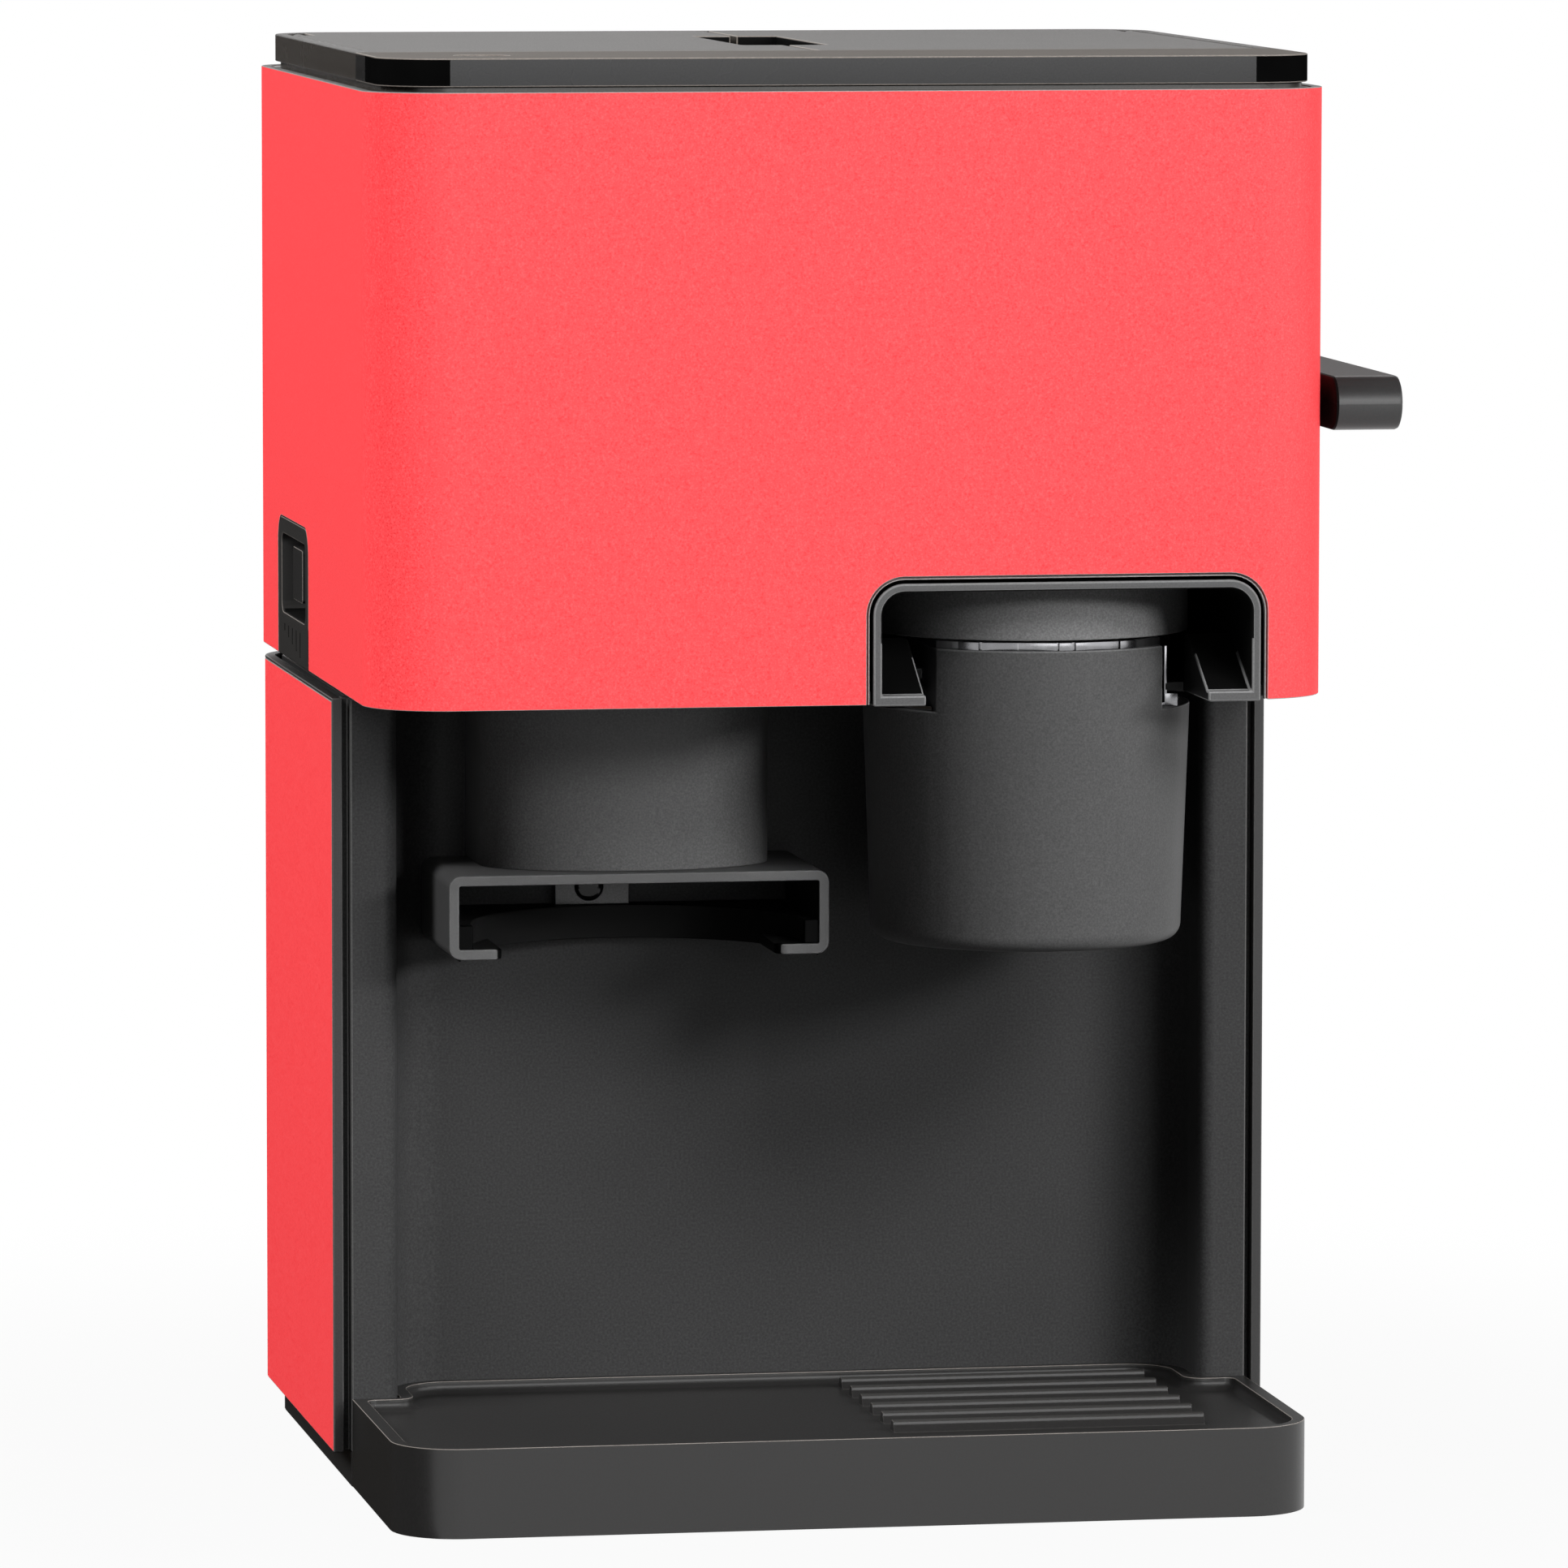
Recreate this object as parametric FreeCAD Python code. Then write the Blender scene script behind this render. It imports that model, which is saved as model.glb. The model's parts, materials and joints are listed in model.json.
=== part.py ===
import FreeCAD, Part
import os
from math import cos, hypot, pi, radians, sin, tan

V = FreeCAD.Vector

# All sizes are millimetres. X runs to the machine's right, Y to its back, Z up.
# The origin is on the table under the middle of the head.

# Head
head_width = 240.0
head_depth = 224.0
head_corner = 20.0
corner_lap = 3.1
head_bottom = 203.3
head_top = 354.0
shell_wall = 2.5
floor_lift = 0.7
floor_thick = 2.5
fit = 0.3

# Top deck, control strip and lids
lid_inset = 3.6
shadow_gap = 1.2
top_height = 8.2
strip_depth = 50.4
deck_thick = 3.8
deck_drop = 0.2
ledge_inset = 5.0
ledge_width = 5.6
rim_width = 3.0
lid_gap = 0.4
split_gap = 1.6
lid_thick = 5.0
lid_split = -0.6
panel_top_wall = 2.5
hinge_rod_radius = 1.2
running_gap = 0.06
hinge_lug_length = 10.0
hinge_lug_width = 5.0
finger_width = 22.0
finger_length = 77.0
finger_middle = 135.5
finger_end = 2.0
button_radius = 6.5
button_flange = 8.0
button_inset = 31.0
button_back = 26.5
button_travel = 1.0
board_thick = 1.6

# Lower body
panel_inset = 0.4
panel_wall = 2.6
panel_front = 77.0
panel_bottom = 9.0
panel_gap = 3.4
skin_thick = 0.8
column_front = 76.0
column_inset = 4.9
column_width = 12.1
column_round = 4.0
back_wall_front = 103.0
back_wall = 3.0
bay_corner = 15.0
side_wall = 3.0
side_wall_room = 18.0
top_plate = 4.0
neck_width = 10.0

# Base and drip tray
base_floor = 2.5
base_wall = 3.0
tray_overhang = 8.0
tray_corner = 16.7
tray_top = 22.7
tray_depth = 3.1
tray_plate = 3.0
tray_side_rim = 3.4
tray_front_rim = 2.4
tray_skirt = 3.0
tray_lift = 0.4
tray_fillet = 2.2
platform_gap = 5.0
platform_front = 8.0
platform_corner = 12.0
rib_count = 6
rib_pitch = 14.2
rib_first = 21.5
rib_end_room = 7.0
rib_height = 2.7
rib_half_width = 1.3
rib_foot = 1.7
foot_radius = 8.0
foot_thick = 1.5
screw_radius = 1.5
screw_head = 3.5
screw_head_thick = 2.0
screw_length = 12.0
boss_radius = 4.5

# Brew station
dock_x = 52.7
cutout_width = 100.8
cutout_rise = 31.5
cutout_corner = 9.5
frame_gap = 1.7
frame_wall = 2.2
frame_drop = 0.4
lip_thick = 2.6
mouth_width = 71.0
seat_width = 60.6
ramp_start = 2.4
ramp_end = 24.0
ramp_back = 29.0
ramp_rise = 11.9
dock_depth = 98.0
cup_back = 52.0
cup_top_radius = 41.0
cup_foot_radius = 39.0
cup_bottom = 139.6
cup_rim = 215.0
cup_edge = 4.0
cup_wall = 2.6
groove_floor = 199.3
neck_half = 28.7
ear_reach = 33.4
ear_half_length = 12.0
ear_thick = 3.0
collar_thick = 1.0
basket_radius = 27.0
basket_wall = 0.8
basket_bottom = 167.0
basket_proud = 2.0
basket_flange = 39.5
outlet_radius = 4.0
funnel_foot = 150.0
brew_head_gap = 0.5
brew_head_radius = 40.5
brew_skirt = 18.5
brew_neck_radius = 30.0
brew_head_top = 264.0
brew_crown = 6.0
piston_radius = 24.4
bore_gap = 0.4
piston_height = 12.0
screen_thick = 1.0
seal_radius = 1.75
stem_radius = 8.0
stem_top = 300.0
yoke_thick = 8.0

# Lever and its rack drive
lever_gap = 2.4
lever_width = 17.1
lever_height = 13.5
lever_front = 10.2
pivot_back = 104.0
pivot_z = 275.4
lever_boss = 12.0
boss_gap = 1.0
boss_inset = 4.0
shaft_radius = 6.0
bush_wall = 3.0
bush_length = 6.0
gear_module = 1.5
pinion_teeth = 15
gear_width = 12.0
rack_body = 7.0
rack_below = 11.0
bracket_width = 7.0
bracket_depth = 14.0

# Grinder station
grinder_shift = 0.45
grind_dock_half = 48.2
grind_dock_bottom = 135.9
grind_dock_top = 157.0
grind_dock_wall = 2.6
grind_dock_corner = 3.1
grind_dock_front = 54.0
grind_lip_half = 34.6
grind_lip_round = 3.0
grind_stop_back = 55.0
grind_stop_radius = 42.0
grind_stop_height = 8.6
column_half = 36.8
column_reach = 21.0
column_back = 80.0
column_wall = 2.5
burr_back = 100.0
motor_radius = 18.0
motor_bottom = 162.0
motor_flange = 24.0
motor_flange_thick = 4.0
housing_lift = 18.5
housing_radius = 30.0
housing_wall = 3.0
housing_height = 37.0
burr_shaft_radius = 4.0
chute_half = 8.0
chute_front = 62.6
chute_depth = 7.0
chute_wall = 1.2
ring_radius = 33.0
ring_bore = 21.0
ring_thick = 8.7
arm_width = 11.6
arm_thick = 5.0
burr_gap = 1.0
burr_radius = 24.0
burr_ring = 2.5
burr_nose = 4.0
burr_skirt = 18.0
sweeper_height = 8.0
sweeper_gap = 2.0
sweeper_thick = 2.0
vane_half = 1.0
flute_half = 0.8
flute_deep = 2.0
burr_flutes = 12
bracket_left = -14.5
bracket_right = 4.5
bracket_plate = 2.5
sensor_radius = 3.7
sensor_x = -5.8
sensor_z = 149.2

# Grind-setting slider in the left side
insert_front = 117.3
insert_back = 175.6
insert_top = 239.3
insert_corner = 7.0
insert_depth = 10.0
recess_front = 123.0
recess_back = 168.5
recess_bottom = 214.5
recess_top = 235.0
recess_corner = 3.0
recess_depth = 8.0
slider_middle = 143.5
slider_half = 9.0
slider_bottom = 219.0
slider_top = 232.5
slider_sink = 0.8
slider_forward = 8.0
slider_backward = 12.0
stem_half = 3.0
carriage_half = 12.0
carriage_thick = 4.5
post_radius = 2.5
post_slack = 1.2
post_inset = 20.0
bar_count = 5
bar_first = 133.2
bar_pitch = 7.4
bar_width = 1.3
bar_longest = 6.2
bar_step = 1.15
bar_top = 211.6
bar_deep = 0.5

# Water path
tank_gap = 3.1
tank_front_room = 15.0
tank_rear_room = 16.0
tank_top = 193.0
tank_wall = 2.5
tank_corner = 4.0
funnel_split_room = 16.6
funnel_side_room = 14.0
funnel_front_room = 16.0
funnel_rear_room = 18.0
funnel_lip = 6.0
funnel_depth = 38.0
spout_inset = 24.0
spout_room = 29.0
spout_radius = 8.0
spout_foot = 180.0
thin_wall = 1.6
pump_radius = 20.0
pump_length = 84.0
pump_room = 34.0
pump_z = 232.0
nozzle_length = 8.0
hose_radius = 3.0
hose_bore = 2.0
suction_reach = 20.0
suction_foot = 12.0
suction_bend = 18.0
pressure_gap = 5.0
pressure_reach = 8.0
pressure_bend = 7.5
block_left = 10.0
block_side_room = 24.0
block_front_gap = 2.0
block_pump_gap = 5.0
block_foot = 8.0
block_bottom = 212.0
block_top = 246.0
brew_pipe_z = 240.0

# Bean hopper
hopper_side_room = 16.0
hopper_split_room = 11.4
hopper_front_room = 8.0
hopper_back = 160.0
hopper_depth = 30.0
hopper_throat = 18.0
hopper_lift = 1.0
hopper_wall = 2.0

# Rear inlet
inlet_inset = 38.0
inlet_half = 15.7
inlet_bottom = 24.0
inlet_top = 50.0
inlet_depth = 14.5
inlet_wall = 2.0

# Levels and planes that follow from the sizes above
front = -head_depth / 2
rear = head_depth / 2
right = head_width / 2
head_round = min(head_corner, right - dock_x - cutout_width / 2 + corner_lap)
lid_top = head_top + top_height
band_bottom = head_top + shadow_gap
floor_bottom = head_bottom + floor_lift
floor_top = floor_bottom + floor_thick
deck_top = head_top - deck_drop
deck_bottom = deck_top - deck_thick
lid_bottom = lid_top - lid_thick
panel_top = head_bottom - panel_gap
column_half_span = right - column_inset
bay_half = column_half_span - column_width
platform_half = bay_half - platform_gap
side_wall_back = head_depth - side_wall_room
tray_floor = tray_top - tray_depth
tray_under = tray_floor - tray_plate
rib_half_length = bay_half - fit - tray_side_rim - rib_end_room - dock_x
frame_half = cutout_width / 2 - frame_gap
frame_top = head_bottom + cutout_rise - frame_gap
frame_bottom = head_bottom - frame_drop
lip_top = frame_bottom + lip_thick
pitch_radius = gear_module * pinion_teeth / 2
rack_line = pivot_back - pitch_radius
brew_head_bottom = cup_rim + basket_proud + brew_head_gap
lever_left = right + lever_gap
grinder_x = (dock_x - cup_top_radius - bay_half) / 2 + grinder_shift
housing_bottom = floor_top + housing_lift
ring_bottom = housing_bottom + housing_height + fit
slider_x = -head_width / 2 + insert_depth
hinge_radius = lid_thick / 2
hinge_z = lid_top - hinge_radius
lid_edge = head_width / 2 - lid_inset - rim_width - fit
hinge_x = lid_edge - hinge_radius
strip_back = lid_inset + strip_depth
button_x = button_inset - right
lid_front = strip_back + lid_gap
lid_back = head_depth - lid_inset - rim_width - fit
lug_back = head_depth - head_round - fit
post_x = -head_width / 2 + post_inset
arm_reach = hypot(post_x - grinder_x, slider_middle + slider_backward - burr_back)
tank_half = column_half_span - side_wall - tank_gap
tank_front = back_wall_front + back_wall + tank_front_room
tank_back = head_depth - tank_rear_room
funnel_bottom = deck_bottom - funnel_depth
funnel_top_left = lid_split + funnel_split_room
funnel_top_right = right - funnel_side_room
funnel_top_front = strip_back + funnel_front_room
funnel_top_back = head_depth - funnel_rear_room
spout_x = right - spout_inset
spout_back = head_depth - spout_room
pump_back = head_depth - pump_room
pressure_x = spout_x - spout_radius - hose_radius - pressure_gap
pump_right = pressure_x - pressure_reach - nozzle_length
pump_left = pump_right - pump_length
suction_x = pump_left - nozzle_length - suction_reach
block_right = right - block_side_room
block_front = pivot_back + bracket_depth + block_front_gap
block_back = pump_back - pump_radius - block_pump_gap
hopper_shoulder = deck_bottom - hopper_depth
hopper_left = hopper_side_room - right
hopper_right = lid_split - hopper_split_room
hopper_front = strip_back + hopper_front_room
inlet_x = right - inlet_inset

parts = {}


def back(distance):
    return front + distance


def outline(corners, place):
    # A closed flat face through the corners (u, v, radius), each rounded by a tangent arc.
    count = len(corners)
    bends = []
    for index, (u, v, radius) in enumerate(corners):
        corner = V(u, v, 0)
        if radius == 0:
            bends.append((corner, corner, corner))
            continue
        before = V(*corners[index - 1][:2], 0) - corner
        after = V(*corners[(index + 1) % count][:2], 0) - corner
        half = before.getAngle(after) / 2
        before.normalize()
        after.normalize()
        reach = radius / tan(half)
        middle = corner + (before + after).normalize() * (radius / sin(half) - radius)
        bends.append((corner + before * reach, middle, corner + after * reach))
    edges = []
    for index, (start, middle, end) in enumerate(bends):
        if (end - start).Length > 1e-6:
            edges.append(Part.Arc(place(start), place(middle), place(end)).toShape())
        following = bends[(index + 1) % count][0]
        if (following - end).Length > 1e-6:
            edges.append(Part.LineSegment(place(end), place(following)).toShape())
    return Part.Face(Part.Wire(edges))


def slab(corners, low, high):
    # A plan outline raised from one height to another.
    return outline(corners, lambda p: V(p.x, p.y, low)).extrude(V(0, 0, high - low))


def front_slab(corners, near, far):
    # An outline seen from the front, run from one depth to another.
    return outline(corners, lambda p: V(p.x, near, p.y)).extrude(V(0, far - near, 0))


def side_slab(corners, left, right):
    # An outline seen from the side, run across from left to right.
    return outline(corners, lambda p: V(left, p.x, p.y)).extrude(V(right - left, 0, 0))


def rect(u, v, radius=0.0):
    # Corners of a rectangle, with one radius or four: low-low, high-low, high-high, low-high.
    radii = radius if isinstance(radius, tuple) else (radius,) * 4
    return [(u[0], v[0], radii[0]), (u[1], v[0], radii[1]), (u[1], v[1], radii[2]), (u[0], v[1], radii[3])]


def box(x, y, z):
    return Part.makeBox(x[1] - x[0], y[1] - y[0], z[1] - z[0], V(x[0], y[0], z[0]))


def rod(radius, start, end):
    return Part.makeCylinder(radius, (end - start).Length, start, end - start)


def upright(radius, x, y, low, high):
    return rod(radius, V(x, y, low), V(x, y, high))


def head_plan(inset):
    return rect((-head_width / 2 + inset, head_width / 2 - inset), (front + inset, rear - inset),
                max(head_round - inset, 0))


def bay_plan():
    # The open bay between the columns, rounded where it meets the rear wall.
    return rect((-bay_half, bay_half), (front - 1, back(back_wall_front)), (0, 0, bay_corner, bay_corner))


def frustum(low_x, low_y, low_z, high_x, high_y, high_z):
    # A four-sided funnel shape between two level rectangles.
    low = outline(rect(low_x, low_y), lambda p: V(p.x, p.y, low_z)).OuterWire
    high = outline(rect(high_x, high_y), lambda p: V(p.x, p.y, high_z)).OuterWire
    return Part.makeLoft([low, high], True, True)


def hose(points, bend):
    # A hose along straight runs joined by one tangent arc at each inner point.
    edges = []
    start = points[0]
    for index in range(1, len(points) - 1):
        before = (points[index - 1] - points[index]).normalize()
        after = (points[index + 1] - points[index]).normalize()
        half = before.getAngle(after) / 2
        entry = points[index] + before * (bend / tan(half))
        leave = points[index] + after * (bend / tan(half))
        middle = points[index] + (before + after).normalize() * (bend / sin(half) - bend)
        edges.append(Part.LineSegment(start, entry).toShape())
        edges.append(Part.Arc(entry, middle, leave).toShape())
        start = leave
    edges.append(Part.LineSegment(start, points[-1]).toShape())
    path = Part.Wire(edges)
    heading = points[1] - points[0]
    tubes = []
    for radius in (hose_radius, hose_bore):
        ring = Part.Wire(Part.makeCircle(radius, points[0], heading))
        tubes.append(path.makePipeShell([ring], True, True))
    return tubes[0].cut(tubes[1])


def round_edges(solid, radius, chosen):
    edges = [edge for edge in solid.Edges if chosen(edge)]
    return solid.makeFillet(radius, edges)


def lever_axis(x):
    return V(x, back(pivot_back), pivot_z)


def burr_axis(z):
    return V(grinder_x, back(burr_back), z)


def cup_axis(z):
    return V(dock_x, back(cup_back), z)


def turned(points):
    # A ring-shaped solid from radius and height points, about the upright axis through the origin.
    wire = Part.makePolygon([V(r, 0, z) for r, z in points + points[:1]])
    return Part.Face(wire).revolve(V(0, 0, 0), V(0, 0, 1), 360)


def make_head():
    shell = slab(head_plan(0), head_bottom, head_top)
    shell = shell.cut(slab(head_plan(shell_wall), head_bottom - 1, head_top + 1))
    cut_x = (dock_x - cutout_width / 2, dock_x + cutout_width / 2)
    cut_z = (head_bottom - 1, head_bottom + cutout_rise)
    shell = shell.cut(front_slab(rect(cut_x, cut_z, (0, 0, cutout_corner, cutout_corner)), front - 1,
                                 front + 2 * shell_wall + 1))
    left = -head_width / 2
    insert_y = (back(insert_front), back(insert_back))
    insert = rect(insert_y, (head_bottom - 1, insert_top), (0, 0, insert_corner, insert_corner))
    shell = shell.cut(side_slab(insert, left - 1, left + shell_wall + 1))
    bush_hole = rod(shaft_radius + bush_wall, lever_axis(head_width / 2 - shell_wall - 1),
                    lever_axis(head_width / 2 + 1))
    parts["head_shell"] = shell.cut(bush_hole)

    plate = slab(head_plan(shell_wall + fit / 2), floor_bottom, floor_top)
    low, high = floor_bottom - 1, floor_top + 1
    dock_y = (front, back(dock_depth) + fit)
    plate = plate.cut(box((dock_x - frame_half - fit, dock_x + frame_half + fit), dock_y, (low, high)))
    plate = plate.cut(box((left, slider_x + carriage_thick + 2 * fit),
                          (back(insert_front) - fit, back(insert_back) + fit), (low, high)))
    plate = plate.cut(upright(motor_radius + fit, grinder_x, back(burr_back), low, high))
    chute_y = (back(chute_front) - fit, back(chute_front + chute_depth) + fit)
    plate = plate.cut(box((grinder_x - chute_half - fit, grinder_x + chute_half + fit), chute_y,
                          (low, high)))
    plate = plate.cut(upright(spout_radius + fit, spout_x, back(spout_back), low, high))
    plate = plate.cut(upright(hose_radius + fit, suction_x, back(pump_back), low, high))
    parts["head_floor"] = plate


def lid_side(side):
    # Sign of the outer edge, and the lid's inner edge.
    return (-1, lid_split - split_gap / 2) if side == "left" else (1, lid_split + split_gap / 2)


def make_top():
    ledge_in = ledge_inset + ledge_width
    deck = slab(head_plan(shell_wall + fit), deck_bottom, deck_top)
    ledge = slab(head_plan(ledge_inset), deck_top, lid_bottom - fit)
    ledge = ledge.cut(slab(head_plan(ledge_in), deck_top - 1, lid_bottom))
    rim = slab(head_plan(lid_inset), band_bottom, lid_top)
    rim = rim.cut(slab(head_plan(lid_inset + rim_width), band_bottom - 1, lid_top + 1))
    strip_zone = box((-head_width, head_width), (front - 1, back(strip_back)), (band_bottom, lid_top + 1))
    rim = rim.cut(strip_zone)
    ledge = ledge.cut(strip_zone)
    bridge_y = (back(strip_back), rear - ledge_in)
    bridge = box((lid_split - ledge_width, lid_split + ledge_width), bridge_y, (deck_top, lid_bottom - fit))
    deck = deck.fuse([ledge, rim, bridge])
    inner = hinge_x - hinge_lug_width / 2
    lug_y = (back(lug_back - hinge_lug_length), back(lug_back))
    for sign in (-1, 1):
        lug_x = sorted((sign * inner, sign * (lid_edge + fit)))
        ear = rod(hinge_lug_width / 2, V(sign * hinge_x, lug_y[0], hinge_z),
                  V(sign * hinge_x, lug_y[1], hinge_z))
        deck = deck.fuse([box(lug_x, lug_y, (deck_top, hinge_z)), ear])
    pocket_x = (lid_split - finger_width / 2, lid_split + finger_width / 2)
    pocket_y = (back(finger_middle - finger_length / 2), back(finger_middle + finger_length / 2))
    deck = deck.cut(slab(rect(pocket_x, pocket_y, finger_end), deck_top, lid_bottom))
    hopper_x = (hopper_left + hopper_wall, hopper_right - hopper_wall)
    hopper_y = (back(hopper_front + hopper_wall), back(hopper_back - hopper_wall))
    deck = deck.cut(box(hopper_x, hopper_y, (deck_bottom - 1, deck_top + 1)))
    filler_x = (funnel_top_left + thin_wall, funnel_top_right - thin_wall)
    filler_y = (back(funnel_top_front + thin_wall), back(funnel_top_back - thin_wall))
    deck = deck.cut(box(filler_x, filler_y, (deck_bottom - 1, deck_top + 1)))

    strip_x = (-head_width / 2 + lid_inset, head_width / 2 - lid_inset)
    strip_y = (front + lid_inset, back(strip_back))
    corner = head_round - lid_inset
    panel = slab(rect(strip_x, strip_y, (corner, corner, 0, 0)), band_bottom, lid_top)
    inside = panel_top_wall
    hollow_x = (strip_x[0] + inside, strip_x[1] - inside)
    hollow_y = (strip_y[0] + inside, strip_y[1] - inside)
    hollow_corner = (corner - inside, corner - inside, 0, 0)
    panel = panel.cut(slab(rect(hollow_x, hollow_y, hollow_corner), band_bottom - 1,
                           lid_top - panel_top_wall))
    panel = panel.cut(upright(button_radius + fit, button_x, back(button_back), band_bottom, lid_top + 1))

    for side in ("left", "right"):
        sign, inner_edge = lid_side(side)
        edge_x = sorted((sign * hinge_x, inner_edge))
        rear_corner = lid_back - lug_back
        radii = (0, 0, 0, rear_corner) if sign < 0 else (0, 0, rear_corner, 0)
        lid = slab(rect(edge_x, (back(lid_front), back(lid_back)), radii), lid_bottom, lid_top)
        start = V(sign * hinge_x, back(lid_front), hinge_z)
        end = V(sign * hinge_x, back(lug_back - hinge_lug_length) - fit, hinge_z)
        lid = lid.fuse(rod(hinge_radius, start, end))
        notch_x = sorted((sign * (inner - fit), sign * head_width / 2))
        notch_y = (end.y, back(lug_back) + head_round)
        lid = lid.cut(box(notch_x, notch_y, (lid_bottom - 1, lid_top + 1)))
        lid = lid.cut(slab(rect(pocket_x, pocket_y, finger_end), lid_bottom - 1, lid_top + 1))
        rod_start = V(start.x, back(strip_back) - inside, hinge_z)
        rod_end = V(start.x, back(lug_back) - inside, hinge_z)
        pin = rod(hinge_rod_radius, rod_start, rod_end)
        parts[side + "_lid"] = lid.cut(rod(hinge_rod_radius + running_gap, start, end))
        parts[side + "_hinge_rod"] = pin
        deck = deck.cut(pin)
        panel = panel.cut(pin)
    parts["top_deck"] = deck
    parts["control_panel"] = panel

    flange_top = lid_top - panel_top_wall - fit
    board_top = deck_top + board_thick
    flange_low = flange_top - 2 * button_travel
    button = upright(button_radius, button_x, back(button_back), flange_low, lid_top - fit)
    parts["power_button"] = button.fuse(upright(button_flange, button_x, back(button_back), flange_low,
                                                flange_top))
    board_x = (button_x - button_flange, lid_split - button_flange)
    board = box(board_x, (back(button_back) - 2 * button_radius, back(button_back) + 2 * button_radius),
                (deck_top, board_top))
    switch_top = flange_low - button_travel - fit / 2
    switch = upright(button_radius / 2, button_x, back(button_back), board_top, switch_top)
    parts["control_board"] = board.fuse(switch)


def make_slider():
    left = -head_width / 2
    insert_y = (back(insert_front) + fit, back(insert_back) - fit)
    corner = insert_corner - fit
    body = side_slab(rect(insert_y, (head_bottom, insert_top - fit), (0, 0, corner, corner)), left,
                     slider_x)
    recess = rect((back(recess_front), back(recess_back)), (recess_bottom, recess_top), recess_corner)
    body = body.cut(side_slab(recess, left - 1, left + recess_depth))
    middle = (slider_bottom + slider_top) / 2
    slot_y = (back(slider_middle - stem_half - slider_forward) - fit,
              back(slider_middle + stem_half + slider_backward) + fit)
    slot_z = (middle - stem_half - fit, middle + stem_half + fit)
    body = body.cut(box((left, slider_x + 1), slot_y, slot_z))
    for index in range(bar_count):
        bar_y = back(bar_first + index * bar_pitch)
        length = bar_longest - index * bar_step
        body = body.cut(box((left - 1, left + bar_deep), (bar_y - bar_width / 2, bar_y + bar_width / 2),
                            (bar_top - length, bar_top)))
    parts["slider_insert"] = body

    tab_y = (back(slider_middle - slider_half), back(slider_middle + slider_half))
    tab = side_slab(rect(tab_y, (slider_bottom, slider_top), 1.0), left + slider_sink,
                    left + recess_depth - fit)
    stem_y = (back(slider_middle - stem_half), back(slider_middle + stem_half))
    stem = box((left + slider_sink, slider_x + carriage_thick), stem_y,
               (middle - stem_half, middle + stem_half))
    carriage_y = (back(slider_middle - carriage_half), back(slider_middle + carriage_half))
    carriage = box((slider_x + fit, slider_x + fit + carriage_thick), carriage_y,
                   (slider_bottom, slider_top))
    shelf = box((slider_x + fit, post_x + post_radius), stem_y, (middle, slider_top))
    post = upright(post_radius, post_x, back(slider_middle), middle, ring_bottom + arm_thick + 1)
    parts["grind_slider"] = tab.fuse([stem, carriage, shelf, post]).removeSplitter()


def make_brew_dock():
    near = back(0)
    outer = rect((dock_x - frame_half, dock_x + frame_half), (frame_bottom, frame_top),
                 (0, 0, cutout_corner - frame_gap, cutout_corner - frame_gap))
    dock = front_slab(outer, near, back(dock_depth))
    inner_half = frame_half - frame_wall
    inner_top = frame_top - frame_wall
    inner_corner = cutout_corner - frame_gap - frame_wall
    inner = rect((dock_x - inner_half, dock_x + inner_half), (lip_top, inner_top),
                 (0, 0, inner_corner, inner_corner))
    dock = dock.cut(front_slab(inner, near - 1, back(dock_depth - frame_wall)))
    mouth = (dock_x - mouth_width / 2, dock_x + mouth_width / 2)
    seat = (dock_x - seat_width / 2, dock_x + seat_width / 2)
    dock = dock.cut(box(mouth, (near - 1, back(ramp_back)), (frame_bottom - 1, lip_top)))
    dock = dock.cut(box(seat, (near - 1, back(dock_depth - frame_wall)), (frame_bottom - 1, lip_top)))
    dock = dock.cut(upright(brew_head_radius + fit, dock_x, back(cup_back), inner_top - 1, frame_top + 1))
    slope = [(back(ramp_start), lip_top, 0), (back(ramp_end), lip_top + ramp_rise, 0),
             (back(ramp_back), lip_top + ramp_rise, 0), (back(ramp_back), lip_top, 0)]
    dock = dock.fuse([side_slab(slope, dock_x - inner_half, mouth[0]),
                      side_slab(slope, mouth[1], dock_x + inner_half)])
    parts["brew_dock"] = dock.removeSplitter()


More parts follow.
